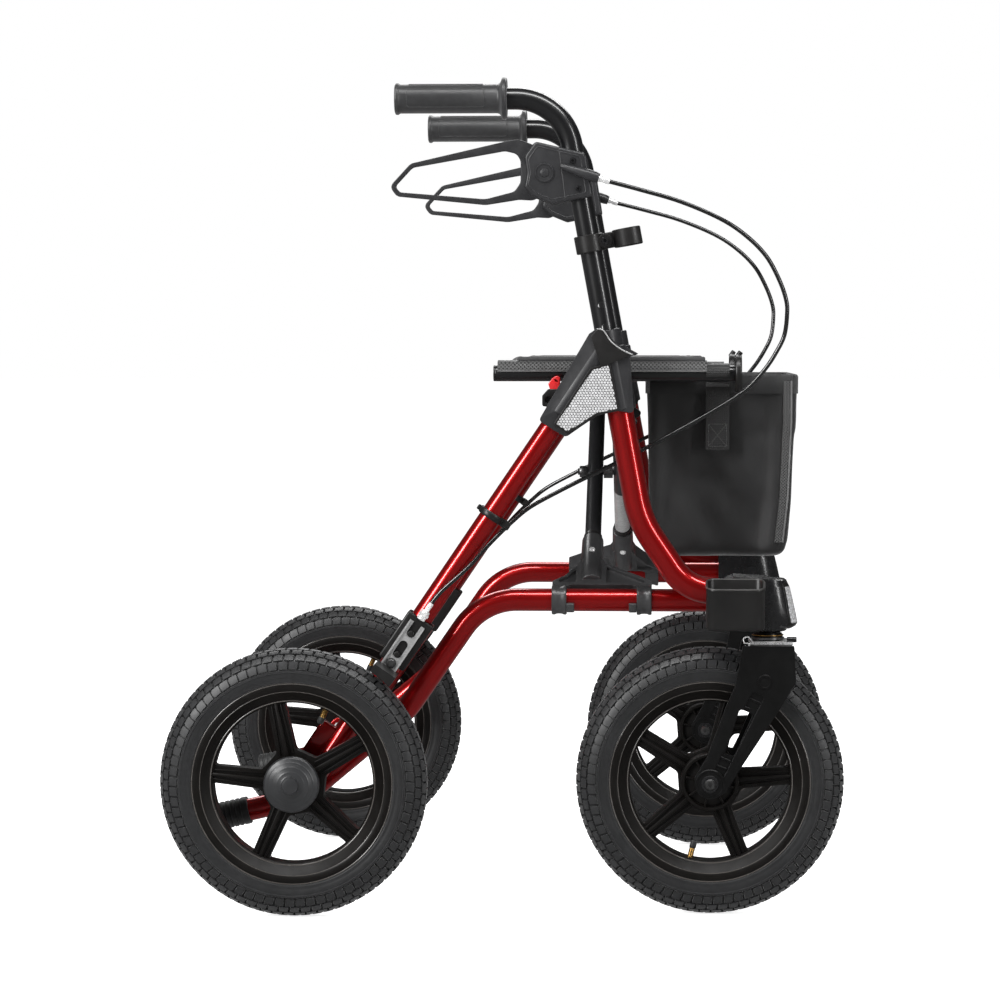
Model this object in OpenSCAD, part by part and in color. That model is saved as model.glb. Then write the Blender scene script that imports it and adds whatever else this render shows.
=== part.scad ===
// Outdoor rollator walker with four pneumatic wheels, a folding cross brace, a seat and a bag.
// +X is the walking direction, +Y is the walker's left, +Z is up. The floor is Z = 0.

/* [Wheels] */
// Diameter of the tyres
wheel_d = 305; // [290:5:310]
// Width of a tyre
tyre_w = 54; // [44:1:56]
// Distance between the rear and front axles
wheelbase = 471.4; // [460:1:490]
// Half the distance between the rear wheels
rear_wheel_y = 310; // [310:1:315]
// Distance from a caster's swivel axis back to its axle
caster_trail = 65.4; // [60:1:70]
// Number of spokes in a rim
spokes = 5; // [5:1:6]

/* [Frame] */
// Half the distance between the legs and handles of the two sides
leg_y = 267; // [265:0.5:268]
// Half the distance between the two lower tubes
lower_y = 238; // [236:0.5:239]
// Height of the lower tubes at the middle
lower_z = 355; // [353:0.5:357]
// Diameter of the lower tubes
lower_d = 26; // [24:0.5:26]
// Diameter of the front legs
front_leg_d = 30; // [29:0.5:30]
// Diameter of the rear legs
rear_leg_d = 25; // [22:0.5:26]
// Rearward lean of the front legs and handles, in degrees
lean = 10.4; // [10:0.1:11]

/* [Fold] */
// Half the distance between the seat rails
rail_y = 208; // [206:0.5:210]
// Height of the seat rails
rail_z = 614.7; // [612:0.5:617]
// Diameter of the seat rails
rail_d = 18.5; // [16:0.5:19]
// Diameter of the brace tubes
brace_d = 19; // [16:0.5:20]

/* [Handles] */
// Diameter of the handle tubes
handle_d = 25; // [22:0.5:25]
// Height of the grips' centre
grip_z = 926.2; // [915:1:930]
// Diameter of a grip
grip_d = 33; // [30:1:35]
// Diameter of a brake cable's sheath
cable_d = 5; // [4:0.5:5]

/* [Bag] */
// Half the width of the bag
bag_y = 184; // [176:1:186]
// Height of the bag's bottom
bag_floor = 402; // [400:1:430]

/* [Hidden] */
$fn = 48;
eps = 0.01;
slack = 0.05;   // radial clearance of a running fit
gap = 0.3;      // clearance between pieces that only pass each other

// Wheels and axles
wheel_r = wheel_d / 2;
tyre_r = tyre_w / 2;
rear_x = -wheelbase / 2;
front_x = wheelbase / 2;
axle_r = 6;
swivel_x = front_x + caster_trail;
swivel_y = leg_y + 1;
section_r = wheel_r - tyre_r;   // radius at the middle of a tyre's section
bead_r = section_r - 16.5;      // where the tyre sits on the rim
flange_r = section_r - 10.5;    // top of the rim's flanges
window_r = 92;                  // outer radius of the openings between the spokes
hub_half = 29;

// Front leg and handle share one axis, which leans back
lean_run = tan(lean);
apex = [119, 649];
function on_lean(z) = [apex.x - (z - apex.y) * lean_run, z];
leg_top = on_lean(660);
knee = [155.9, 448.1];
ankle = [207.9, 370.8];
collar_top_z = 664;
collar_r = 17;

// Rear leg: a straight tube from the front leg down to the rear axle
rear_leg_angle = 55.9;
rear_leg_run = [cos(rear_leg_angle), sin(rear_leg_angle)];
function on_rear_leg(s) = apex - (610 - s) * rear_leg_run;   // s = distance up from the axle
rear_leg_foot = 4;

// Brace: two equal crossed arms, each from a lower tube to the other side's rail
brace_rise = rail_z - lower_z;
brace_angle = atan2(brace_rise, rail_y + lower_y);
brace_length = norm([rail_y + lower_y, brace_rise]);
pivot_z = lower_z + lower_y * tan(brace_angle);
brace_x = [99.2, 130.5];
pivot_r = 4;

// Grip, lever and brake
bend_r = 65;
grip_rear = -123;
grip_front = 4.4;
lever_pivot = [47.6, 841.4];
lever_w = 14;
housing_half = 20;

module mirrored(side) {
    if (side == "left") mirror([0, 1, 0]) children();
    else children();
}

// Stands a shape drawn in the XZ plane upright, centred on y and t thick
module upright(y, t) {
    translate([0, y + t / 2, 0])
        rotate([90, 0, 0])
            linear_extrude(height = t) children();
}

// Cylinder along Y, centred on y
module y_cylinder(p, y, h, r) {
    translate([p.x, y + h / 2, p.y])
        rotate([90, 0, 0]) cylinder(h = h, r = r);
}

// Cylinder between two points
module rod(a, b, r) {
    v = b - a;
    translate(a)
        rotate([0, acos(v.z / norm(v)), atan2(v.y, v.x)])
            cylinder(h = norm(v), r = r);
}

// Revolves a profile of (radius, width) about an axle along Y
module wheel_turn(p, y) {
    translate([p.x, y, p.y])
        rotate([90, 0, 0]) rotate_extrude($fn = 96) children();
}

function heading(a, b) = atan2(b.y - a.y, b.x - a.x);
function half_turn(a) = a > 180 ? a - 360 : a < -180 ? a + 360 : a;
function turn_at(p, i) = i <= 0 || i >= len(p) - 1 ? 0
    : half_turn(heading(p[i], p[i + 1]) - heading(p[i - 1], p[i]));
function trim_at(p, bends, i) = turn_at(p, i) == 0 ? 0 : bends[i] * tan(abs(turn_at(p, i)) / 2);
function along(a, b, s) = a + (b - a) / norm(b - a) * s;

// Round bar bent in the XZ plane through the points p, with a bend radius at each point.
// The straights reach a little into the bends, which are a hair thicker, so that all fuse.
module bent_rod(p, bends, y, d) {
    lap = 2;
    last = len(p) - 1;
    translate([0, y, 0]) rotate([90, 0, 0]) {
        for (i = [0 : last - 1]) {
            from = along(p[i], p[i + 1], trim_at(p, bends, i) - (i > 0 ? lap : 0));
            to = along(p[i + 1], p[i], trim_at(p, bends, i + 1) - (i < last - 1 ? lap : 0));
            translate(from) rotate([0, 0, heading(from, to)]) rotate([0, 90, 0])
                cylinder(h = norm(to - from), d = d);
        }
        for (i = [1 : last - 1]) {
            h = heading(p[i - 1], p[i]);
            t = turn_at(p, i);
            to_left = t > 0 ? 1 : -1;
            from = along(p[i], p[i - 1], trim_at(p, bends, i));
            centre = from + bends[i] * to_left * [-sin(h), cos(h)];
            translate(centre) rotate([0, 0, t > 0 ? h - 90 : h + 90 + t])
                rotate_extrude(angle = abs(t)) translate([bends[i], 0]) circle(d = d + 0.2);
        }
    }
}

// ---- Frame tubes ----

lower_path = [[278, lower_z], [-24.9, lower_z], [-112.3, 228.2], [-236, 124], [-336, 101]];
lower_bends = [0, 75, 90, 70, 0];

module lower_tube(side) {
    color("firebrick") mirrored(side) bent_rod(lower_path, lower_bends, -lower_y, lower_d);
}

front_leg_path = [leg_top, knee, ankle, [284, 363]];
front_leg_bends = [0, 120, 55, 0];

module front_leg(side) {
    color("firebrick") mirrored(side) difference() {
        bent_rod(front_leg_path, front_leg_bends, -leg_y, front_leg_d);
        rod([on_lean(475).x, -leg_y, 475], [on_lean(700).x, -leg_y, 700], handle_d / 2 + slack);
    }
}

// Square bracket welded on the rear leg's back, above the axle
bracket_from = 26;
bracket_long = 47;

module rear_leg(side) {
    boss_y = -(lower_y + leg_y) / 2;
    boss_h = leg_y - lower_y + 27;
    foot = on_rear_leg(rear_leg_foot);
    top = on_rear_leg(606);
    color("firebrick") mirrored(side) difference() {
        union() {
            rod([foot.x, -leg_y, foot.y], [top.x, -leg_y, top.y], rear_leg_d / 2);
            y_cylinder([rear_x, wheel_r], boss_y, boss_h, 14);
            on_leg(bracket_from) translate([0, 8, -9]) cube([bracket_long, 21, 18]);
        }
        y_cylinder([rear_x, wheel_r], boss_y, boss_h + 40, axle_r + slack);
        rod([knee.x, -leg_y, knee.y], [on_lean(720).x, -leg_y, 720], front_leg_d / 2);
    }
}

// Rubber sleeve on the lower tube's rear end, pushed with a foot to tip the walker
module tip_sleeve(side) {
    end = lower_path[4];
    back = along(end, lower_path[3], 42);
    over = along(end, back, -4);
    color("#1b1b1c") mirrored(side) difference() {
        rod([over.x, -lower_y, over.y], [back.x, -lower_y, back.y], 16);
        rod([end.x, -lower_y, end.y], [back.x + 30, -lower_y, back.y + 7], lower_d / 2 + slack);
    }
}

// ---- Caster housing and fork ----

housing_bottom = 323;
housing_top = 383;
stem_r = 10;

// Rounded nose of the housing's front, seen from the side
housing_nose = [[300, 326], [330, 326], [334, 333], [326, 374], [318, 383], [300, 383]];

module caster_housing(side) {
    outline = [[252, 336], [290, 326], [301, 326], [301, 383], [262, 385], [252, 380]];
    color("#232325") mirrored(side) difference() {
        union() {
            translate([swivel_x, -swivel_y, housing_bottom])
                cylinder(h = housing_top - housing_bottom, r = 21.8);
            upright(-255.5, 69) polygon(outline);
            upright(-swivel_y, 30) polygon(housing_nose);
        }
        translate([swivel_x, -swivel_y, housing_bottom - 1]) cylinder(h = 53, r = stem_r + slack);
        rod([240, -lower_y, lower_z], [278.1, -lower_y, lower_z], lower_d / 2 + slack);
        rod([ankle.x, -leg_y, ankle.y], [284.1, -leg_y, 363], front_leg_d / 2 + slack);
    }
}

arm_y = tyre_r + 7;
arm_t = 9;

// Outline of one fork arm: a broad plate under the housing that narrows down to the axle
arm_outline = [
    [265, 309], [330, 309], [331, 286], [321, 262], [300, 241], [283, 212], [257, 158],
    [front_x + 16, wheel_r - 12], [front_x - 16, wheel_r - 8], [front_x - 18, wheel_r + 6],
    [251, 224], [266, 262]
];

module fork(side) {
    color("#1d1d1f") mirrored(side) difference() {
        union() {
            for (s = [-1, 1]) {
                upright(-swivel_y + s * (arm_y + arm_t / 2), arm_t) difference() {
                    union() {
                        polygon(arm_outline);
                        translate([front_x, wheel_r]) circle(r = 19);
                    }
                    polygon([[276, 248], [284, 245], [252, 174], [244, 177]]);
                }
            }
            translate([286, -swivel_y - arm_y - eps, 299]) cube([36, 2 * arm_y + 2 * eps, 10]);
            translate([swivel_x, -swivel_y, 308]) cylinder(h = 13, r = 17);
            translate([swivel_x, -swivel_y, 309]) cylinder(h = 3, r = 26);
            translate([swivel_x, -swivel_y, 308]) cylinder(h = 64, r = stem_r);
        }
        y_cylinder([front_x, wheel_r], -swivel_y, 120, axle_r + slack);
    }
}

// ---- Wheels ----

module tyre(p, y) {
    color("#2a2a2c") wheel_turn(p, y) difference() {
        translate([section_r, 0]) circle(r = tyre_r, $fn = 64);
        translate([section_r, 0]) circle(r = tyre_r - 9, $fn = 64);
        translate([bead_r - 20, -tyre_r]) square([20, tyre_w]);
        for (s = [-1, 1])
            translate([bead_r - 20, s > 0 ? 17.3 : -tyre_r]) square([flange_r + 20.3 - bead_r, 20]);
        translate([bead_r - 1, -12]) square([12, 24]);
    }
}

rim_profile = [
    [window_r, -13], [window_r, 13], [bead_r - 6, 19], [bead_r - 6, 22], [flange_r, 22],
    [flange_r, 17.6], [bead_r, 17.6], [bead_r, -17.6], [flange_r, -17.6], [flange_r, -22],
    [bead_r - 6, -22], [bead_r - 6, -19]
];

module rim(p, y, first_spoke) {
    color("#161617") difference() {
        union() {
            wheel_turn(p, y) polygon(rim_profile);
            y_cylinder(p, y, 2 * hub_half, 22);
            y_cylinder(p, y, 2 * hub_half - 8, 29);
            for (i = [0 : spokes - 1])
                translate([p.x, 0, p.y]) rotate([0, -first_spoke - i * 360 / spokes, 0])
                    upright(y, 20) polygon([[24, -9], [24, 9], [94, 6], [94, -6]]);
        }
        y_cylinder(p, y, 2 * hub_half + 2, axle_r + slack);
    }
}

module rear_axle(side) {
    length = rear_wheel_y + hub_half + 7 - (lower_y - 17);
    color("silver") mirrored(side) {
        y_cylinder([rear_x, wheel_r], -(lower_y - 17) - length / 2, length, axle_r);
        y_cylinder([rear_x, wheel_r], -(lower_y - 17) + 3, 6, 9);
    }
}

module hub_cap(side) {
    face = -rear_wheel_y - hub_half;
    color("#3a3a3d") mirrored(side) difference() {
        union() {
            y_cylinder([rear_x, wheel_r], face - 3, 6, 31);
            y_cylinder([rear_x, wheel_r], face - 10, 8.5, 22);
        }
        y_cylinder([rear_x, wheel_r], face - 3, 10, axle_r + gap);
    }
}

module front_axle(side) {
    half = arm_y + arm_t;
    color("silver") mirrored(side) {
        y_cylinder([front_x, wheel_r], -swivel_y, 2 * half, axle_r);
        for (s = [-1, 1])
            y_cylinder([front_x, wheel_r], -swivel_y + s * (half + 3), 6, 10);
    }
}

// ---- Junction of the legs ----

cover_half = 19;
cover_outline = [
    [41, 562], [58, 551], [72, 543], [89, 555], [106, 567.5], [131, 573], [149, 570],
    [144, 634], [149, 636], [136, 643], [126, 652], [115, 665], [108, 667], [98, 660]
];
latch_axis = [51, 584];
shelf_x = [68, 87];
shelf_t = 8;

module junction_cover(side) {
    color("#38383b") mirrored(side) difference() {
        union() {
            upright(-leg_y, 2 * cover_half) polygon(cover_outline);
            rod([on_lean(640).x, -leg_y, 640], [on_lean(collar_top_z).x, -leg_y, collar_top_z],
                collar_r);
            y_cylinder(latch_axis, -leg_y + 15, 24, 8);
            // shelf that the seat rail comes down on
            translate([shelf_x[0], -leg_y + cover_half - 1, rail_z - rail_d / 2 - gap - shelf_t])
                cube([shelf_x[1] - shelf_x[0], leg_y - rail_y - cover_half + 12, shelf_t]);
        }
        rod([knee.x, -leg_y, knee.y], [leg_top.x, -leg_y, leg_top.y], front_leg_d / 2 + slack);
        rod([knee.x, -leg_y, knee.y], [on_lean(720).x, -leg_y, 720], handle_d / 2 + slack);
        rod([on_rear_leg(300).x, -leg_y, on_rear_leg(300).y], [apex.x, -leg_y, apex.y],
            rear_leg_d / 2 + slack);
    }
}

reflector_outline = [
    [101.5, 620], [120.5, 625.5], [131, 575], [106, 569.5], [87, 556.5], [73, 549], [60, 558]
];

module junction_reflector(side) {
    color("#c9c9cc") mirrored(side)
        upright(-leg_y - cover_half - 1, 2) polygon(reflector_outline);
}

// Star knob that clamps the handle tube in the front leg
knob_z = 560;

module height_knob(side) {
    p = on_lean(knob_z);
    color("#1b1b1c") mirrored(side) {
        translate([p.x, -leg_y + front_leg_d / 2 + gap, p.y]) rotate([-90, 0, 0]) {
            cylinder(h = 22, r = 7);
            translate([0, 0, 8]) cylinder(h = 13, r = 13.5);
            for (i = [0 : 5]) rotate([0, 0, i * 60])
                translate([12.5, 0, 8]) cylinder(h = 13, r = 4.5);
        }
    }
}

// ---- Handle, grip and brake lever ----

hole_pitch = 25;

module handle_tube(side) {
    bottom = on_lean(530);
    corner = on_lean(grip_z);
    color("#141415") mirrored(side) difference() {
        bent_rod([bottom, corner, [grip_rear + 3, grip_z]], [0, bend_r, 0], -leg_y, handle_d);
        rod([on_lean(500).x, -leg_y, 500], [on_lean(860).x, -leg_y, 860], handle_d / 2 - 2);
        for (i = [0 : 5]) {
            p = along(on_lean(692.5), bottom, i * hole_pitch);
            y_cylinder(p, -leg_y, 40, 3.5);
        }
    }
}

module grip(side) {
    color("#2b2b2d") mirrored(side) difference() {
        union() {
            rod([grip_rear, -leg_y, grip_z], [grip_front, -leg_y, grip_z], grip_d / 2);
            rod([grip_front - 5, -leg_y, grip_z], [grip_front, -leg_y, grip_z], 24);
            rod([grip_rear, -leg_y, grip_z], [grip_rear + 5, -leg_y, grip_z], grip_d / 2 + 1.5);
        }
        rod([grip_rear + 3, -leg_y, grip_z], [grip_front + 1, -leg_y, grip_z],
            handle_d / 2 + slack);
    }
}

housing_outline = [
    [37, 877], [66, 870], [92, 864], [95, 859], [102, 815], [56, 806], [34, 815],
    [24.5, 825], [27.5, 841], [24.5, 860]
];
barrel_start = [71.5, -289, 847];
barrel_end = [109, -291, 835];
adjuster_end = [121.5, -291.5, 831];

module lever_housing(side) {
    color("#3a3a3d") mirrored(side) {
        difference() {
            union() {
                upright(-leg_y, 2 * housing_half) polygon(housing_outline);
                y_cylinder(lever_pivot, -leg_y - housing_half, 4, 11);
            }
            translate([0, -leg_y - lever_w / 2 - gap, 790])
                cube([lever_pivot.x + 16, lever_w + 2 * gap, 100]);
            rod([on_lean(780).x, -leg_y, 780], [on_lean(900).x, -leg_y, 900],
                handle_d / 2 + slack);
        }
        y_cylinder(lever_pivot, -leg_y, lever_w + 2 * gap + 4, pivot_r);
        difference() {
            union() {
                rod(barrel_start, barrel_end, 6);
                rod(barrel_end, adjuster_end, 3.5);
            }
            upright(-leg_y, 2 * housing_half + 0.1) polygon(housing_outline);
        }
    }
}

// Loop-shaped brake lever: two bars that meet behind the hand, on a broad root
lever_outline = [
    [-129, 827], [-105, 853], [6, 878.5], [19, 880], [36, 873], [55, 854],
    [61.5, 841.4], [55, 829], [36, 811], [18, 812], [-20, 806], [-121, 816]
];
lever_window = [
    [-123, 827], [-103, 848.5], [2, 867], [15, 864], [20, 856],
    [20, 831], [13, 821], [-20, 812.5], [-117, 820.5]
];

module brake_lever(side) {
    color("#38383b") mirrored(side) difference() {
        upright(-leg_y, lever_w) difference() {
            polygon(lever_outline);
            polygon(lever_window);
        }
        for (s = [-1, 1])
            translate([-140, s > 0 ? -leg_y + 5 : -leg_y - 25, 795]) cube([158, 20, 95]);
        y_cylinder(lever_pivot, -leg_y, lever_w + 2, pivot_r + slack);
    }
}

// ---- Brake on the rear leg ----

function leg_point(s, y) = [on_rear_leg(s).x, y, on_rear_leg(s).y];

// Lays a shape out in the rear leg's frame: x up the leg from the axle, y across it, z to the side
module on_leg(s) {
    p = on_rear_leg(s);
    translate([p.x, -leg_y, p.y]) rotate([90, -rear_leg_angle, 0]) children();
}

module brake_body(side) {
    color("#1f1f21") mirrored(side) difference() {
        union() {
            on_leg(170) translate([0, -17, -15]) cube([62, 34, 27.5]);
            on_leg(183) translate([0, 0, 10]) cylinder(h = 9, r = 3.6);
            on_leg(211) translate([0, 0, 10]) cylinder(h = 9, r = 3.6);
            rod(leg_point(231, -leg_y - 16), leg_point(243, -leg_y - 16), 5);
            rod(leg_point(242, -leg_y - 16), leg_point(254, -leg_y - 16), 3.2);
        }
        rod(leg_point(100, -leg_y), leg_point(300, -leg_y), rear_leg_d / 2 + slack);
    }
}

shoe_gap = 3.3;

module brake_shoe(side) {
    color("#b9babd") mirrored(side) {
        on_leg(165) difference() {
            translate([0, -10, 13.1]) cube([60, 20, 2.4]);
            for (s = [12, 41])
                translate([s, -4.2, 12]) cube([s < 20 ? 16 : 12, 8.4, 5]);
        }
        difference() {
            union() {
                on_leg(140) translate([0, -14, 13.1]) cube([25.5, 28, 12]);
                on_leg(140) translate([6, -14, 20]) cube([19.5, 28, 43]);
            }
            y_cylinder([rear_x, wheel_r], -rear_wheel_y, 90, wheel_r + shoe_gap);
        }
    }
}

clip_s = 368;

module cable_clip(side) {
    color("#1b1b1c") mirrored(side) on_leg(clip_s) difference() {
        union() {
            rotate([0, 90, 0]) cylinder(h = 12, r = rear_leg_d / 2 + 3.5);
            translate([0, -26, -5]) cube([12, 16, 10]);
        }
        translate([-1, 0, 0]) rotate([0, 90, 0]) cylinder(h = 14, r = rear_leg_d / 2 + slack);
        translate([-1, -30, -2.6]) cube([14, 13.6, 30]);
    }
}

// ---- Brake cable: one sheath swept along its route ----

cable_route = [
    adjuster_end, [156, -287, 822], [201, -280, 809], [246, -272, 790],
    [275, -266, 771], [298, -262, 748], [313, -259, 721], [321, -257, 698],
    [322, -256, 681], [319, -254, 658], [310, -252, 639], [298, -250, 620.5],
    [281, -249, 601], [264, -248, 587.5], [224, -247, 563.5], [178, -247, 538],
    [156, -247, 527], [129, -248, 513], [98, -250, 498], [64, -254, 481],
    [31, -260, 463], [10, -267, 446], [-14, -276, 422.5], [-38, -282, 396],
    [-68.5, -283.5, 368.5], [-80.4, -283, 354.6]
];
rings_between = 3;
cable_sides = 8;

function spline(a, b, c, d, t) = 0.5 * (2 * b + (c - a) * t
    + (2 * a - 5 * b + 4 * c - d) * t * t + (3 * b - a - 3 * c + d) * t * t * t);
function smooth_route(p) = [
    for (i = [0 : len(p) - 2], k = [0 : rings_between - 1])
        spline(p[max(i - 1, 0)], p[i], p[i + 1], p[min(i + 2, len(p) - 1)], k / rings_between),
    p[len(p) - 1]
];
function unit(v) = v / norm(v);
function tangent(p, i) = unit(p[min(i + 1, len(p) - 1)] - p[max(i - 1, 0)]);
function sweep_ring(p, i, r) =
    let (t = tangent(p, i), across = unit(cross(t, [0, 1, 0])), up = cross(across, t))
    [for (k = [0 : cable_sides - 1])
        p[i] + r * (cos(k * 360 / cable_sides) * across + sin(k * 360 / cable_sides) * up)];

module cable_sweep(route, r) {
    p = smooth_route(route);
    n = cable_sides;
    points = [for (i = [0 : len(p) - 1]) each sweep_ring(p, i, r)];
    walls = [
        for (i = [0 : len(p) - 2], k = [0 : n - 1])
            let (a = i * n + k, b = i * n + (k + 1) % n)
            each [[a, b, b + n], [a, b + n, a + n]]
    ];
    first_cap = [for (k = [1 : n - 2]) [0, k + 1, k]];
    last = (len(p) - 1) * n;
    last_cap = [for (k = [1 : n - 2]) [last, last + k, last + k + 1]];
    polyhedron(points, concat(walls, first_cap, last_cap));
}

module brake_cable(side) {
    color("#141415") mirrored(side) cable_sweep(cable_route, cable_d / 2);
}

// ---- Stick holder ----

cup_size = [67, 45, 57];
cup_corner = 11;

module rounded_plan(size, r) {
    for (x = [r, size.x - r], y = [r, size.y - r])
        translate([x, y]) circle(r = r);
    translate([r, 0]) square([size.x - 2 * r, size.y]);
    translate([0, r]) square([size.x, size.y - 2 * r]);
}

module stick_cup() {
    wall = 2.5;
    inner = [cup_size.x - 2 * wall, cup_size.y - 2 * wall];
    color("#333335") translate([230, -leg_y - 23 - cup_size.y, 327]) difference() {
        linear_extrude(height = cup_size.z) rounded_plan(cup_size, cup_corner);
        translate([wall, wall, 3])
            linear_extrude(height = cup_size.z) rounded_plan(inner, cup_corner - wall);
        translate([-1, -1, cup_size.z]) rotate([-12, 0, 0]) translate([0, -20, 0])
            cube([cup_size.x + 2, cup_size.y + 40, 30]);
    }
}

clip_centre = on_lean(762);
clip_reach = 45;
clip_h = 20;
stick_r = 15;

module stick_clip() {
    color("#242426") translate([clip_centre.x, -leg_y, clip_centre.y]) rotate([0, -lean, 0])
        translate([0, 0, -clip_h / 2]) difference() {
            union() {
                cylinder(h = clip_h, r = 17);
                translate([0, -5, 0]) cube([clip_reach - stick_r, 10, clip_h]);
                translate([18, -4, clip_h / 2]) rotate([90, 0, 0]) cylinder(h = 12, r = 8);
                translate([clip_reach, 0, 0]) cylinder(h = clip_h, r = stick_r + 3);
            }
            translate([0, 0, -1]) cylinder(h = clip_h + 2, r = handle_d / 2 + slack);
            translate([clip_reach, 0, -1]) cylinder(h = clip_h + 2, r = stick_r);
            translate([clip_reach + 2, -10, -1]) cube([30, 20, clip_h + 2]);
        }
}

// ---- Cross brace and seat ----

// Frame of one arm: x along the walker, y up the arm from the lower tube, z square to it
module on_brace(arm) {
    if (arm == 1)
        translate([brace_x[0], -lower_y, lower_z]) rotate([brace_angle, 0, 0]) children();
    else
        translate([brace_x[1], lower_y, lower_z]) rotate([0, 0, 180])
            rotate([brace_angle, 0, 0]) children();
}

module rail_line(y, r) {
    rod([-20, y, rail_z], [280, y, rail_z], r);
}

module brace_tube(arm) {
    start = 40;
    color("#1c1c1e") difference() {
        on_brace(arm) rotate([-90, 0, 0]) translate([0, 0, start]) difference() {
            cylinder(h = brace_length - start, d = brace_d);
            translate([0, 0, -1]) cylinder(h = brace_length, d = brace_d - 4);
        }
        translate([0, 0, pivot_z]) rotate([0, 90, 0]) cylinder(h = 200, r = pivot_r + slack);
        rail_line(arm == 1 ? rail_y : -rail_y, rail_d / 2);
    }
}

bracket_rings = [[-44.6, -27.6], [52.8, 69.9]];
bracket_ring_r = 17;

module brace_bracket(arm) {
    yoke = [
        [-44.6, 14.5], [69.9, 14.5], [69.9, 26], [54, 40], [12.5, 72], [-12.5, 72], [-30, 40],
        [-44.6, 26]
    ];
    color("#2c2c2e") on_brace(arm) difference() {
        union() {
            for (r = bracket_rings)
                translate([r[0], 0, 0]) rotate([0, 90, 0])
                    cylinder(h = r[1] - r[0], r = bracket_ring_r);
            translate([0, 0, -8]) linear_extrude(height = 16) polygon(yoke);
            rotate([-90, 0, 0]) translate([0, 0, 30]) cylinder(h = 92, r = 12.5);
        }
        translate([-60, 0, 0]) rotate([0, 90, 0]) cylinder(h = 150, r = lower_d / 2 + slack);
        rotate([-90, 0, 0]) translate([0, 0, 39.9]) cylinder(h = 100, r = brace_d / 2 + slack);
    }
}

module seat_rail(y) {
    color("#19191b") {
        rod([-12, y, rail_z], [265, y, rail_z], rail_d / 2);
        rod([265, y, rail_z], [272, y, rail_z], 22);
        rod([266, y, rail_z + 18], [271, y, rail_z + 25], 3);
    }
}

module pivot_bolt() {
    color("silver") translate([0, 0, pivot_z]) rotate([0, 90, 0]) {
        translate([0, 0, 78]) cylinder(h = 76, r = pivot_r);
        translate([0, 0, 80]) cylinder(h = 9, r = 7);
        translate([0, 0, 109.2]) cylinder(h = 11.3, r = 8);
        translate([0, 0, 140.5]) cylinder(h = 8, r = 7);
    }
}

// Hand catch that holds the brace down when the seat is open
module fold_latch() {
    outline = [[44, 578], [52, 577], [62, 590], [64, 606], [56, 611], [50, 603], [53, 594], [44, 588]];
    color("crimson") difference() {
        upright(-leg_y + 33, 8) polygon(outline);
        y_cylinder(latch_axis, -leg_y + 33, 12, 4 + slack);
    }
    color("crimson") y_cylinder([60, 608], -leg_y + 36, 14, 4);
}

seat_x = [-4, 232];
seat_top = rail_z + rail_d / 2 + 9;

module seat() {
    skirt = rail_y + rail_d / 2 + 2.5;
    color("#2d2d30") difference() {
        translate([seat_x[0], -skirt, rail_z + 3])
            cube([seat_x[1] - seat_x[0], 2 * skirt, seat_top - rail_z - 3]);
        translate([seat_x[0] - 1, -rail_y, rail_z - 1])
            cube([seat_x[1] - seat_x[0] + 2, 2 * rail_y, rail_d / 2 + 1.5]);
        for (s = [-1, 1]) rail_line(s * rail_y, rail_d / 2 + gap);
    }
}

bag_wall = 3;
bag_outline = [
    [160, 616], [340, 616], [339, 560], [336, 470], [326, bag_floor + 8], [315, bag_floor],
    [176, bag_floor], [167, bag_floor + 8]
];
strap_x = [232, 260];
strap_end = 526;

// One strap in the YZ plane: a loop round the rail and a tail down the bag's side
module strap_section() {
    difference() {
        union() {
            translate([rail_y, rail_z]) circle(r = rail_d / 2 + gap + 2);
            polygon([
                [bag_y, strap_end], [bag_y + 3.4, strap_end], [bag_y + 3.4, 594],
                [rail_y - 7, rail_z - 9], [rail_y - 10, rail_z - 5], [bag_y, 600]
            ]);
        }
        translate([rail_y, rail_z]) circle(r = rail_d / 2 + gap);
    }
}

module bag() {
    color("#242427") {
        difference() {
            upright(0, 2 * bag_y) polygon(bag_outline);
            upright(0, 2 * (bag_y - bag_wall)) difference() {
                translate([0, bag_wall]) polygon(bag_outline);
                translate([100, 0]) square([71, 700]);
                translate([324, bag_floor]) rotate([0, 0, -9.5]) square([30, 75]);
                translate([336, bag_floor]) square([30, 300]);
            }
        }
        for (s = [0, 1])
            translate([strap_x[0], 0, 0]) mirror([0, s, 0]) rotate([90, 0, 90])
                linear_extrude(height = strap_x[1] - strap_x[0]) strap_section();
    }
}

lower_tube("right");  // right_lower_tube
lower_tube("left");  // left_lower_tube
front_leg("right");  // right_front_leg
front_leg("left");  // left_front_leg
rear_leg("right");  // right_rear_leg
rear_leg("left");  // left_rear_leg
tip_sleeve("right");  // right_tip_sleeve
tip_sleeve("left");  // left_tip_sleeve
caster_housing("right");  // right_caster_housing
caster_housing("left");  // left_caster_housing
junction_cover("right");  // right_junction_cover
junction_cover("left");  // left_junction_cover
junction_reflector("right");  // right_junction_reflector
junction_reflector("left");  // left_junction_reflector
cable_clip("right");  // right_cable_clip
cable_clip("left");  // left_cable_clip
brake_body("right");  // right_brake_body
brake_body("left");  // left_brake_body
brake_shoe("right");  // right_brake_shoe
brake_shoe("left");  // left_brake_shoe
rear_axle("right");  // right_rear_axle
rear_axle("left");  // left_rear_axle
tyre([rear_x, wheel_r], -rear_wheel_y);  // right_rear_tyre
tyre([rear_x, wheel_r], rear_wheel_y);  // left_rear_tyre
rim([rear_x, wheel_r], -rear_wheel_y, 30);  // right_rear_rim
rim([rear_x, wheel_r], rear_wheel_y, 30);  // left_rear_rim
hub_cap("right");  // right_hub_cap
hub_cap("left");  // left_hub_cap
fork("right");  // right_fork
fork("left");  // left_fork
front_axle("right");  // right_front_axle
front_axle("left");  // left_front_axle
tyre([front_x, wheel_r], -swivel_y);  // right_front_tyre
tyre([front_x, wheel_r], swivel_y);  // left_front_tyre
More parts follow.
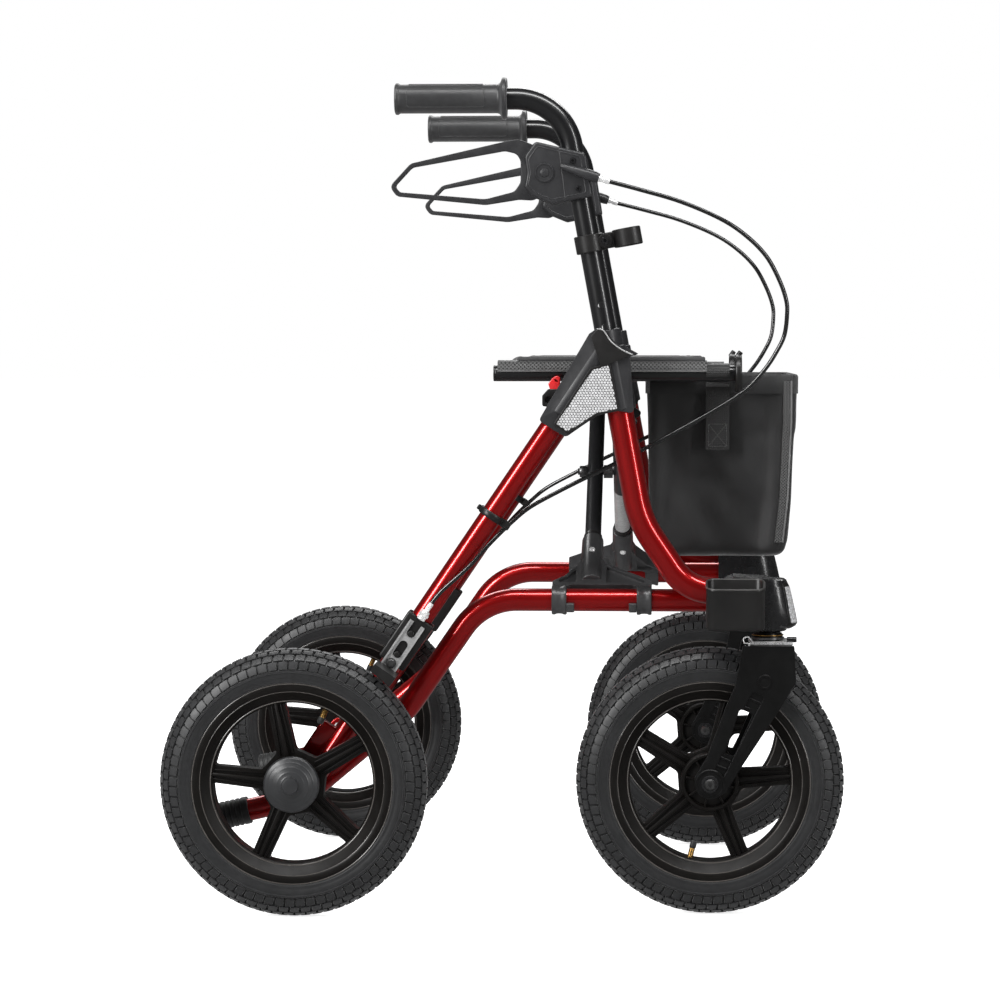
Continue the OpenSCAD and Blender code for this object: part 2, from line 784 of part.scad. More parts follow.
rim([front_x, wheel_r], -swivel_y, 4);  // right_front_rim
rim([front_x, wheel_r], swivel_y, 4);  // left_front_rim
handle_tube("right");  // right_handle_tube
handle_tube("left");  // left_handle_tube
grip("right");  // right_grip
grip("left");  // left_grip
lever_housing("right");  // right_lever_housing
lever_housing("left");  // left_lever_housing
brake_lever("right");  // right_brake_lever
brake_lever("left");  // left_brake_lever
brake_cable("right");  // right_brake_cable
brake_cable("left");  // left_brake_cable
height_knob("right");  // right_height_knob
height_knob("left");  // left_height_knob
stick_cup();
stick_clip();
brace_tube(1);  // brace_tube_1
brace_tube(2);  // brace_tube_2
brace_bracket(1);  // brace_bracket_1
brace_bracket(2);  // brace_bracket_2
seat_rail(rail_y);  // left_seat_rail
seat_rail(-rail_y);  // right_seat_rail
pivot_bolt();
fold_latch();
seat();
bag();
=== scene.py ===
"""Looks of the rollator walker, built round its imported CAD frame.

Shapes are drawn in millimetres in the row frame (+X forward, +Y left, +Z up) and scaled to metres at the
end. Pieces that come in pairs are built for the right-hand side, where Y is negative, and mirrored.
"""

import math

import bmesh
import bpy
from mathutils import Matrix, Vector, noise


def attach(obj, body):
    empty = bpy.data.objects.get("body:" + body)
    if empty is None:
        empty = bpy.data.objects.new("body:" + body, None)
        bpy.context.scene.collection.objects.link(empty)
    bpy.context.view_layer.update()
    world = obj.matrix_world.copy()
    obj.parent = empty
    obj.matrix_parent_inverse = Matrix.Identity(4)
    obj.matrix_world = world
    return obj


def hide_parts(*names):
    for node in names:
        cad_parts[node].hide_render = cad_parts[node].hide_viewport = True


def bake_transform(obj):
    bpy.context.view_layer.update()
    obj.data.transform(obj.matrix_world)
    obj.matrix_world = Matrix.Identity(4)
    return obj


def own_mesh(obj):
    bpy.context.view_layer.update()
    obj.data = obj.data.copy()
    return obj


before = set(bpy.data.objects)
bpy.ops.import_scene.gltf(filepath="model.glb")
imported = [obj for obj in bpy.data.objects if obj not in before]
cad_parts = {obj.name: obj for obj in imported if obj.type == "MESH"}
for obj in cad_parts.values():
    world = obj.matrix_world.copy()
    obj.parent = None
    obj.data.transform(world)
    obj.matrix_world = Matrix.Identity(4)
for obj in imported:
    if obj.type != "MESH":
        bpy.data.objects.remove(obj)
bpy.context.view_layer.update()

MM = 0.001

# Wheels
WHEEL_R = 152.5
TYRE_R = 27
SECTION_R = WHEEL_R - TYRE_R
WINDOW_R = 92
WINDOW_FOOT_R = 38
SPOKES = 5
RIM_STEPS = 160
REAR_AXLE = Vector((-235.7, -310, WHEEL_R))
FRONT_AXLE = Vector((235.7, -268, WHEEL_R))
SWIVEL = Vector((301.1, -268, 0))
FIRST_SPOKE = {"rear": 30, "front": 4}

# Frame tubes
LEG_Y = -267
LOWER_Y = -238
LOWER_Z = 355
LOWER_D = 26
FRONT_LEG_D = 30
REAR_LEG_D = 25
LEAN = math.radians(10.4)
APEX = Vector((119, LEG_Y, 649))
REAR_LEG_ANGLE = math.radians(55.9)
COLLAR_TOP = 664
# The front leg's bend, knee and toe, as (x, z)
LEG_BEND = (155.9, 448.1)
LEG_KNEE = (207.9, 370.8)
LEG_TOE = (284, 363)

# Brace, rails and seat
RAIL_Y = 208
RAIL_Z = 614.7
RAIL_D = 18.5
BRACE_D = 19
BRACE_X = (99.2, 130.5)
BRACE_ANGLE = math.atan2(RAIL_Z - LOWER_Z, RAIL_Y - LOWER_Y)
BRACE_LENGTH = math.hypot(RAIL_Z - LOWER_Z, RAIL_Y - LOWER_Y)
PIVOT_Z = LOWER_Z - LOWER_Y * math.tan(BRACE_ANGLE)

# Handles
GRIP_Z = 926.2
GRIP_R = 16.5
HANDLE_D = 25
HEIGHT_HOLES = 6
HOLE_TOP = 692.5
HOLE_PITCH = 25
BEND_R = 65
LEVER_PIVOT = Vector((47.6, LEG_Y, 841.4))
CABLE_D = 5

# How much wider a bore's radius is than the radius of the tube in it
FIT = 0.1


def on_lean(z, y=LEG_Y):
    """Point at height z on the shared axis of the front leg and the handle tube."""
    return Vector((APEX.x - (z - APEX.z) * math.tan(LEAN), y, z))


def on_rear_leg(s, y=LEG_Y):
    """Point on the rear leg's axis, s up from the wheel's axle."""
    run = Vector((math.cos(REAR_LEG_ANGLE), 0, math.sin(REAR_LEG_ANGLE)))
    point = APEX - (610 - s) * run
    return Vector((point.x, y, point.z))


def leg_frame(s):
    """Frame at s up the rear leg: x up the leg, y across it to the rear, z outboard."""
    c, n = math.cos(REAR_LEG_ANGLE), math.sin(REAR_LEG_ANGLE)
    p = on_rear_leg(s)
    return Matrix(((c, -n, 0, p.x), (0, 0, -1, p.y), (n, c, 0, p.z), (0, 0, 0, 1)))


def brace_frame(arm):
    """Frame of a brace arm: x along the walker, y up the arm from its lower tube."""
    if arm == 1:
        place = Matrix.Translation((BRACE_X[0], LOWER_Y, LOWER_Z))
    else:
        place = Matrix.Translation((BRACE_X[1], -LOWER_Y, LOWER_Z)) @ Matrix.Rotation(math.pi, 4, "Z")
    return place @ Matrix.Rotation(BRACE_ANGLE, 4, "X")


# ---- Materials ----


class Nodes:
    """A material's node tree, with short ways to add the nodes that most materials here share."""

    def __init__(self, name, **sockets):
        self.material = bpy.data.materials.new(name)
        self.material.use_nodes = True
        self.tree = self.material.node_tree
        self.shader = self.tree.nodes["Principled BSDF"]
        self.place = self.add("ShaderNodeTexCoord").outputs["Object"]
        for socket, value in sockets.items():
            self.shader.inputs[socket.replace("_", " ")].default_value = value

    def add(self, kind, **settings):
        node = self.tree.nodes.new(kind)
        for key, value in settings.items():
            setattr(node, key, value)
        return node

    def link(self, output, node_input):
        self.tree.links.new(output, node_input)

    def noise(self, size, detail=3, stretch=(1, 1, 1)):
        """Noise with features of about size millimetres."""
        mapping = self.add("ShaderNodeMapping")
        mapping.inputs["Scale"].default_value = stretch
        self.link(self.place, mapping.inputs["Vector"])
        node = self.add("ShaderNodeTexNoise")
        node.inputs["Scale"].default_value = 1 / (size * MM)
        node.inputs["Detail"].default_value = detail
        self.link(mapping.outputs[0], node.inputs["Vector"])
        return node.outputs["Fac"]

    def waves(self, size, turn, direction="X"):
        """Parallel ridges size millimetres apart, turned by an angle about each axis."""
        mapping = self.add("ShaderNodeMapping")
        mapping.inputs["Rotation"].default_value = [math.radians(a) for a in turn]
        self.link(self.place, mapping.inputs["Vector"])
        node = self.add("ShaderNodeTexWave", bands_direction=direction)
        node.inputs["Scale"].default_value = 2 * math.pi / (20 * size * MM)
        self.link(mapping.outputs[0], node.inputs["Vector"])
        return node.outputs["Fac"]

    def math(self, operation, a, b):
        node = self.add("ShaderNodeMath", operation=operation)
        for value, slot in ((a, node.inputs[0]), (b, node.inputs[1])):
            if isinstance(value, (int, float)):
                slot.default_value = value
            else:
                self.link(value, slot)
        return node.outputs[0]

    def spread(self, fac, low, high):
        """Turns a pattern in 0..1 into a value in low..high."""
        node = self.add("ShaderNodeMapRange")
        node.inputs["From Min"].default_value = 0.3
        node.inputs["From Max"].default_value = 0.7
        node.inputs["To Min"].default_value = low
        node.inputs["To Max"].default_value = high
        self.link(fac, node.inputs["Value"])
        return node.outputs["Result"]

    def colour(self, fac, dark, light, low=0.3, high=0.7):
        ramp = self.add("ShaderNodeValToRGB")
        ramp.color_ramp.elements[0].position = low
        ramp.color_ramp.elements[1].position = high
        ramp.color_ramp.elements[0].color = (*dark, 1)
        ramp.color_ramp.elements[1].color = (*light, 1)
        self.link(fac, ramp.inputs["Fac"])
        self.link(ramp.outputs["Color"], self.shader.inputs["Base Color"])

    def roughness(self, fac, low, high):
        self.link(self.spread(fac, low, high), self.shader.inputs["Roughness"])

    def bump(self, height, depth, strength=1.0):
        """Bump of depth millimetres."""
        node = self.add("ShaderNodeBump")
        node.inputs["Strength"].default_value = strength
        node.inputs["Distance"].default_value = depth * MM
        self.link(height, node.inputs["Height"])
        self.link(node.outputs["Normal"], self.shader.inputs["Normal"])


def grey(value, tint=(1, 1, 1)):
    """A grey of one value, with a slight tint."""
    return tuple(value * t for t in tint)


def scaled(colour, factor):
    """A lighter or darker colour."""
    return tuple(c * factor for c in colour)


def paint(name, colour, metallic, rough, coat):
    """Glossy lacquer with fine flakes and a slight orange peel."""
    n = Nodes(name, Metallic=metallic, Coat_Weight=coat, Coat_Roughness=0.06, IOR=1.5)
    flakes = n.noise(0.5, 2)
    n.colour(flakes, scaled(colour, 0.8), scaled(colour, 1.2))
    n.roughness(n.noise(40, 2), rough * 0.9, rough * 1.12)
    n.bump(n.noise(6, 1), 0.006, 0.3)
    return n.material


def moulded(name, colour, rough, grain, depth, coat=0.0, ior=1.48):
    """Moulded plastic: an even colour with a fine spark-eroded grain and slightly uneven gloss."""
    n = Nodes(name, Coat_Weight=coat, Coat_Roughness=0.12, IOR=ior)
    n.colour(n.noise(35, 4), scaled(colour, 0.82), scaled(colour, 1.18))
    n.roughness(n.noise(9, 4), rough * 0.85, rough * 1.15)
    n.bump(n.noise(grain, 3), depth)
    return n.material


def rubber(name, colour, rough, grain, depth):
    """Rubber with a dusty bloom that lightens it in patches."""
    n = Nodes(name, IOR=1.5, Sheen_Weight=0.15, Sheen_Roughness=0.5)
    bloom = n.math("MULTIPLY", n.noise(60, 5), n.noise(5, 4))
    n.colour(bloom, scaled(colour, 0.8), scaled(colour, 1.35), 0.15, 0.4)
    n.roughness(n.noise(12, 4), rough * 0.88, rough * 1.1)
    n.bump(n.noise(grain, 4), depth)
    return n.material


def metal(name, colour, rough, stretch=(1, 1, 1), metallic=1.0):
    """Plated or brushed metal."""
    n = Nodes(name, Metallic=metallic)
    n.colour(n.noise(8, 4, stretch), scaled(colour, 0.82), scaled(colour, 1.1))
    n.roughness(n.noise(1.2, 4, stretch), rough * 0.7, rough * 1.4)
    n.bump(n.noise(0.6, 3, stretch), 0.015, 0.6)
    return n.material


def woven(name, colour, thread, depth, rough, sheen=0.3, turn=(0, 0, 0)):
    """Plain weave: two sets of ridges square to each other, with the threads lighter on the ridges in large
    patches.
    """
    n = Nodes(name, Sheen_Weight=sheen, Sheen_Roughness=0.4, IOR=1.45)
    warp = n.waves(thread, (turn[0], turn[1], turn[2] + 45), "X")
    weft = n.waves(thread, (turn[0], turn[1] + 90, turn[2] + 45), "X")
    rise = n.waves(thread, (turn[0] + 90, turn[1] + 45, turn[2]), "Z")
    weave = n.math("MAXIMUM", n.math("MAXIMUM", warp, weft), rise)
    # Lighter where the weave's ridges rise, in large patches, and darker between the threads
    ridge_tone = n.math("MULTIPLY", n.noise(40, 5), weave)
    n.colour(ridge_tone, scaled(colour, 0.7), scaled(colour, 1.4), 0.1, 0.7)
    n.roughness(n.noise(20, 3), rough * 0.9, rough * 1.1)
    n.bump(weave, depth)
    return n.material


def foil(name, dark, light, grain):
    """Silver reflective sheet under a clear face."""
    n = Nodes(name, Metallic=0.35, Coat_Weight=0.5, Coat_Roughness=0.1)
    n.colour(n.noise(grain, 2), grey(dark), grey(light, (1, 1, 1.02)))
    n.roughness(n.noise(6, 3), 0.25, 0.4)
    n.bump(n.noise(grain, 2), 0.05, 0.4)
    return n.material


def open_mesh(name, hole, thread, pitch):
    """Coarse open mesh: light threads round rows of holes painted near black, a painted shade in the
    openings.
    """
    n = Nodes(name, Sheen_Weight=0.2, Sheen_Roughness=0.4, IOR=1.45)
    lean, fall = n.waves(pitch, (0, 45, 0)), n.waves(pitch, (0, -45, 0))
    holes = n.math("MULTIPLY", lean, fall)
    # The holes take the near-black colour: painted shade where the mesh is open
    n.colour(holes, grey(thread), grey(hole), 0.12, 0.42)
    n.roughness(n.noise(15, 3), 0.42, 0.58)
    n.bump(n.math("SUBTRACT", 1.0, holes), 0.5)
    return n.material


PAINT_RED = paint("lacquer_red", (0.33, 0.002, 0.0025), 0.8, 0.3, 0.9)
GLOSS_BLACK = paint("lacquer_black", (0.004, 0.004, 0.0045), 0.0, 0.3, 0.6)
BRACE_BLACK = paint("powder_black", (0.012, 0.012, 0.013), 0.0, 0.36, 0.2)
CAST_BLACK = moulded("cast_black", grey(0.003), 0.34, 0.8, 0.02, 0.05, 1.33)
HOUSING_BLACK = moulded("housing_black", grey(0.007, (1, 1, 1.08)), 0.26, 0.9, 0.012, 0.35)
PLASTIC_DARK = moulded("plastic_dark", grey(0.007, (1.06, 1, 0.97)), 0.36, 0.9, 0.03)
PLASTIC_GREY = moulded("plastic_grey", grey(0.015, (1, 1, 1.08)), 0.38, 0.8, 0.03)
RIM_BLACK = moulded("rim_black", grey(0.0035, (1.2, 1, 0.85)), 0.4, 2.5, 0.01, 0.0, 1.3)
TYRE_RUBBER = rubber("tyre_rubber", grey(0.008, (0.98, 1, 1.08)), 0.42, 1.2, 0.05)
GRIP_RUBBER = rubber("grip_rubber", grey(0.015, (1, 1, 1.05)), 0.42, 0.8, 0.06)
TIP_RUBBER = rubber("tip_rubber", grey(0.008), 0.55, 1.0, 0.05)
SHEATH = moulded("cable_sheath", grey(0.006), 0.14, 1.5, 0.004, 1.0)
ZINC = metal("zinc_plate", grey(0.8), 0.28, metallic=0.55)
# Grey much lighter than the rim, for its raised lines: painted highlights along the rim's edges
RIM_HIGHLIGHT_PAINT = moulded("rim_highlight_paint", grey(0.05, (1.1, 1, 0.92)), 0.25, 2.5, 0.01, 0.4)
THREAD = woven("thread", grey(0.02), 0.5, 0.2, 0.6)
STEEL_DARK = metal("dark_steel", grey(0.2), 0.34)
ALLOY = metal("brushed_alloy", grey(0.46), 0.34, (1, 1, 8), 0.6)
BRASS = metal("brass", (0.62, 0.36, 0.11), 0.3)
REFLECTOR = foil("reflector_foil", 0.45, 0.62, 4)
REFLECTOR_BACK = foil("reflector_back", 0.05, 0.09, 3)
REFLECTOR_STRIP = foil("reflector_strip", 0.12, 0.7, 1.6)
LATCH_RED = moulded("latch_red", (0.5, 0.012, 0.014), 0.3, 1.0, 0.02, 0.4)
# Near-black holes of the open meshes: painted shade in the openings
SEAT_FABRIC = open_mesh("seat_mesh", 0.002, 0.06, 3.2)
SEAT_TOP = woven("seat_cover", grey(0.032, (1, 1, 1.03)), 0.9, 0.2, 0.6, 0.15)
BAG_FABRIC = woven("bag_nylon", grey(0.007, (1, 1, 1.04)), 0.7, 0.12, 0.46, 0.3)
WEBBING = woven("webbing", grey(0.006), 1.5, 0.3, 0.5, 0.2)
PIPING = woven("piping", grey(0.09), 0.6, 0.1, 0.55, 0.4)
MESH_TRIM = open_mesh("mesh_trim", 0.004, 0.05, 2.4)
BRACE_PLASTIC = moulded("brace_plastic", grey(0.026, (1, 1, 1.03)), 0.33, 0.8, 0.02, 0.1)
HUB_GREY = moulded("hub_grey", grey(0.018, (0.98, 1, 1.06)), 0.34, 0.6, 0.01)
# Grey lighter than the cup, for the bead round its rim: a painted highlight along the edge
CUP_HIGHLIGHT_PAINT = moulded("cup_highlight_paint", grey(0.035, (1.04, 1, 0.97)), 0.35, 1.2, 0.01)


# ---- Mesh helpers ----


def link_object(name, data):
    """A new object in the scene."""
    obj = bpy.data.objects.new(name, data)
    bpy.context.scene.collection.objects.link(obj)
    return obj


def as_object(shape):
    """The shape itself where it is an object, or a new object where it is a bmesh."""
    if isinstance(shape, bpy.types.Object):
        return shape
    bmesh.ops.recalc_face_normals(shape, faces=shape.faces)
    mesh = bpy.data.meshes.new("part")
    shape.to_mesh(mesh)
    shape.free()
    return link_object("part", mesh)


def bake(obj):
    """Applies the object's modifiers."""
    evaluated = obj.evaluated_get(bpy.context.evaluated_depsgraph_get())
    mesh = bpy.data.meshes.new_from_object(evaluated)
    obj.modifiers.clear()
    obj.data = mesh
    return obj


def combine(obj, tools, operation):
    """Joins the tools to the object or cuts them from it."""
    tools = [as_object(tool) for tool in tools]
    for tool in tools:
        modifier = obj.modifiers.new("combine", "BOOLEAN")
        modifier.operation = operation
        modifier.solver = "EXACT"
        modifier.object = tool
    bake(obj)
    for tool in tools:
        bpy.data.objects.remove(tool)
    return obj


def soften(obj, width, segments=3, angle=35):
    """Rounds the object's edges."""
    modifier = obj.modifiers.new("soften", "BEVEL")
    modifier.width = width
    modifier.segments = segments
    modifier.limit_method = "ANGLE"
    modifier.angle_limit = math.radians(angle)
    modifier.use_clamp_overlap = True
    return bake(obj)


def solid(shape, edge=0.0, cut=(), add=(), segments=3):
    """Object from a shape, with others joined to it and cut from it, and its edges rounded."""
    obj = as_object(shape)
    if add:
        combine(obj, add, "UNION")
    if cut:
        combine(obj, cut, "DIFFERENCE")
    if edge:
        soften(obj, edge, segments)
    return obj


def joined(shapes):
    """One object out of several that touch or lie apart."""
    bm = bmesh.new()
    for obj in [as_object(shape) for shape in shapes]:
        bm.from_mesh(obj.data)
        bpy.data.objects.remove(obj)
    mesh = bpy.data.meshes.new("joined")
    bm.to_mesh(mesh)
    bm.free()
    return link_object("joined", mesh)


def circle(count, first=0.0):
    """Angles evenly round a circle."""
    return [first + 2 * math.pi * k / count for k in range(count)]


def ramp(first, last, steps):
    """Evenly spaced numbers from first to last."""
    return [first + (last - first) * k / steps for k in range(steps + 1)]


def loft(rings, loop=False, ends=(True, True)):
    """Skin over rings of matching points, with closed ends unless the last ring meets the first."""
    bm = bmesh.new()
    rings = [[bm.verts.new(p) for p in ring] for ring in rings]
    count = len(rings[0])
    for near, far in zip(rings, rings[1:] + (rings[:1] if loop else [])):
        for k in range(count):
            j = (k + 1) % count
            bm.faces.new((near[k], near[j], far[j], far[k]))
    if ends[0] and not loop:
        bm.faces.new(rings[0][::-1])
    if ends[1] and not loop:
        bm.faces.new(rings[-1])
    return bm


def perpendicular(direction):
    """Any unit vector square to a direction."""
    other = Vector((0, 1, 0)) if abs(direction.y) < 0.9 else Vector((1, 0, 0))
    return direction.cross(other).normalized()


def sweep(path, radius, sides=32):
    """Round tube along a path. The radius is one number, or one for each point."""
    path = [Vector(p) for p in path]
    radii = radius if isinstance(radius, (list, tuple)) else [radius] * len(path)
    rings = []
    last = len(path) - 1
    u = None
    for i, p in enumerate(path):
        t = (path[min(i + 1, last)] - path[max(i - 1, 0)]).normalized()
        u = perpendicular(t) if u is None else (u - t * u.dot(t)).normalized()
        v = t.cross(u)
        rings.append([p + radii[i] * (math.cos(a) * u + math.sin(a) * v) for a in circle(sides)])
    return loft(rings)


def rod(a, b, radius, edge=0.8, sides=32):
    """Round bar from a to b with rounded ends. The radius is one number, or one for each end."""
    a, b = Vector(a), Vector(b)
    way = (b - a).normalized()
    near, far = radius if isinstance(radius, (list, tuple)) else (radius, radius)
    turns = ramp(0, math.pi / 2, 3)
    inset = [edge * (1 - math.cos(turn)) for turn in turns]
    drop = [edge * (1 - math.sin(turn)) for turn in turns]
    path = [a + way * i for i in inset] + [b - way * i for i in reversed(inset)]
    return sweep(path, [near - d for d in drop] + [far - d for d in reversed(drop)], sides)


def lathe(profile, centre=(0, 0, 0), steps=96, axis="Y"):
    """Turns a closed profile of (radius, distance along the axis) about an axis through centre."""
    rings = []
    for a in circle(steps):
        c, s = math.cos(a), math.sin(a)
        if axis == "Y":
            rings.append([(r * c, w, r * s) for r, w in profile])
        elif axis == "Z":
            rings.append([(r * c, r * s, w) for r, w in profile])
        else:
            rings.append([(w, r * c, r * s) for r, w in profile])
    bm = loft(rings, loop=True)
    bmesh.ops.remove_doubles(bm, verts=bm.verts, dist=1e-4)
    bmesh.ops.dissolve_degenerate(bm, edges=bm.edges, dist=1e-4)
    bm.transform(Matrix.Translation(centre))
    return bm


def turned(profile, start, way, steps=40):
    """Turns a closed profile of (radius, distance) about the line from start along way."""
    bm = lathe(profile, steps=steps, axis="Z")
    bm.transform(Vector((0, 0, 1)).rotation_difference(Vector(way)).to_matrix().to_4x4())
    bm.transform(Matrix.Translation(start))
    return bm


def rounded(outline, radius, steps=5):
    """The outline with its corners rounded. The radius is one number, or one for each corner."""
    points = [Vector(p) for p in outline]
    count = len(points)
    result = []
    for i, p in enumerate(points):
        r = radius[i] if isinstance(radius, (list, tuple)) else radius
        before, after = points[i - 1] - p, points[(i + 1) % count] - p
        reach = min(before.length, after.length) * 0.48
        turn = before.angle(after)
        trim = min(r / max(math.tan(turn / 2), 1e-6), reach)
        if r <= 0 or trim < 1e-3 or turn > math.radians(177):
            result.append(p)
            continue
        start, end = p + before.normalized() * trim, p + after.normalized() * trim
        for k in range(steps + 1):
            t = k / steps
            result.append(start * (1 - t) ** 2 + p * 2 * t * (1 - t) + end * t * t)
    return [tuple(p) for p in result]


def both_ends(half):
    """Profile of (radius, distance) that is the same towards both ends, from its lower half."""
    return half + [(r, -w) for r, w in reversed(half)]


def prism(outline, low, high):
    """Closed solid from an outline in the XZ plane, between y = low and y = high."""
    return loft([[(x, y, z) for x, z in outline] for y in (low, high)])


def block(low, high, place=None):
    """Box between two corners."""
    outline = [(low[0], low[2]), (high[0], low[2]), (high[0], high[2]), (low[0], high[2])]
    bm = prism(outline, low[1], high[1])
    if place is not None:
        bm.transform(place)
    return bm


def bent_path(points, bends, step=5):
    """Polyline in a plane whose corners are turned into arcs of the given radii."""
    points = [Vector(p) for p in points]
    path = [points[0]]
    for i in range(1, len(points) - 1):
        back, on = (points[i - 1] - points[i]).normalized(), (points[i + 1] - points[i]).normalized()
        half = back.angle(on) / 2
        trim = bends[i] / math.tan(half)
        centre = points[i] + (back + on).normalized() * bends[i] / math.sin(half)
        start = (points[i] + back * trim - centre).normalized()
        end = (points[i] + on * trim - centre).normalized()
        count = max(2, round(math.degrees(start.angle(end)) / step))
        for k in range(count + 1):
            path.append(centre + start.slerp(end, k / count) * bends[i])
    path.append(points[-1])
    return path


def spline(points, between=6):
    """Smooth curve through the points."""
    points = [Vector(p) for p in points]
    last = len(points) - 1
    result = []
    for i in range(last):
        a, b, c, d = (points[max(0, min(last, i + k))] for k in (-1, 0, 1, 2))
        for k in range(between):
            t = k / between
            ends = 2 * b + (c - a) * t
            result.append(0.5 * (ends + (2 * a - 5 * b + 4 * c - d) * t**2 + (3 * b - a - 3 * c + d) * t**3))
    return result + [points[-1]]


# ---- Putting pieces in place ----


def dress(obj, body, material, nodes=()):
    """Scales a finished piece to metres, smooths its shading, paints it and ties it to its body."""
    mesh = obj.data
    mesh.transform(Matrix.Scale(MM, 4))
    mesh.materials.clear()
    mesh.materials.append(material)
    mesh.polygons.foreach_set("use_smooth", [True] * len(mesh.polygons))
    mesh.set_sharp_from_angle(angle=math.radians(38))
    mesh.update()
    if body:
        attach(obj, body)
    if nodes:
        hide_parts(*nodes)
    return obj


def mirrored(obj, name):
    """A copy on the walker's other side."""
    mesh = obj.data.copy()
    mesh.transform(Matrix.Scale(-1, 4, (0, 1, 0)))
    mesh.flip_normals()
    return link_object(name, mesh)


def pair(name, shape, part, material, nodes=()):
    """Puts a right-hand piece and its mirror image on each side's body."""
    obj = as_object(shape)
    obj.name = f"{name}_right"
    twin = mirrored(obj, f"{name}_left")
    for side, piece in (("right", obj), ("left", twin)):
        dress(piece, f"{side}_{part}", material, [f"{side}_{node}" for node in nodes])


def one(name, shape, body, material, nodes=()):
    """Puts a single piece on its body."""
    obj = as_object(shape)
    obj.name = name
    return dress(obj, body, material, nodes)


# ---- Wheels ----

TREAD_BLOCKS = 72
TREAD_DEPTH = 3.0
TREAD_END = 79
# Rows of tread blocks by their angles round the tyre's section, and each row's stagger in block lengths
TREAD_ROWS = ((2, 16, 0.5), (20, 36, 0.0), (40, 56, 0.5), (60, TREAD_END, 0.0))
# How far a row leans back from the middle to the tread's end, in block lengths
TREAD_SLANT = 0.35
# Places along one block where its sides and its neighbours' sides fall
BLOCK_EDGES = (0.0, 0.07, 0.11, 0.39, 0.43, 0.5, 0.57, 0.61, 0.89, 0.93)
# Raised line below the tread, by its angles, and how far the smooth sidewall lies below the blocks
LEDGE = (83.5, 87.5)
SIDEWALL_DROP = 0.9


def tread_drop(angle, share):
    """How far the tyre's surface lies below the top of the blocks."""
    side = abs(angle)
    if side > LEDGE[1]:
        return SIDEWALL_DROP
    if side >= LEDGE[0]:
        return 0.1
    for start, end, stagger in TREAD_ROWS:
        if start <= side <= end:
            place = (share + stagger) % 1
            return 0.0 if 0.1 < place < 0.9 else TREAD_DEPTH
    return TREAD_DEPTH if side < TREAD_END + 3 else SIDEWALL_DROP * 1.6


def tyre_mesh(centre):
    """Tyre with four staggered rows of blocks on each side of its middle."""
    positive = [0]
    for start, end, _ in TREAD_ROWS:
        positive += [start - 1.2, start, (start + end) / 2, end, end + 1.2]
    positive += [TREAD_END + 3.2, LEDGE[0] - 0.6, LEDGE[0], LEDGE[1], LEDGE[1] + 0.8, 94]
    positive = sorted(set(positive))[1:]
    angles = [-a for a in reversed(positive)] + [0] + positive
    # Sidewall below the section's widest point, then round the rim's edge and across inside
    wall = [(120, 25.5), (118, 24.8), (116.8, 25.1), (115.6, 24.6), (114.5, 22.6), (109.8, 17.8), (112, 14)]
    rings = []
    pitch = 2 * math.pi / TREAD_BLOCKS
    for i in range(TREAD_BLOCKS):
        for share in BLOCK_EDGES:
            profile = []
            for angle in angles:
                r = TYRE_R - tread_drop(angle, share)
                out = SECTION_R + r * math.cos(math.radians(angle))
                slant = TREAD_SLANT * min(abs(angle), TREAD_END) / TREAD_END
                profile.append((out, r * math.sin(math.radians(angle)), slant))
            profile += [(r, w, TREAD_SLANT) for r, w in wall]
            profile += [(r, -w, TREAD_SLANT) for r, w in reversed(wall)]
            ring = []
            for r, w, slant in profile:
                turn = pitch * (i + share + slant)
                ring.append((r * math.cos(turn), w, r * math.sin(turn)))
            rings.append(ring)
    bm = loft(rings, loop=True)
    bm.transform(Matrix.Translation(centre))
    return bm


def window_outline(first, second):
    """Opening between two spokes, with rounded corners, as a ring of points about the wheel's centre."""
    gap_near, gap_far = math.radians(17), math.radians(6.2)
    near, far = WINDOW_FOOT_R, WINDOW_R
    low, high = math.radians(first), math.radians(second)
    start, end = low + gap_near, high - gap_near
    points = [(near * math.cos(start), near * math.sin(start))]
    arc = ramp(low + gap_far, high - gap_far, 10)
    points += [(far * math.cos(a), far * math.sin(a)) for a in arc]
    points.append((near * math.cos(end), near * math.sin(end)))
    radii = [7, 12] + [0] * 9 + [12, 7]
    return rounded(points, radii)


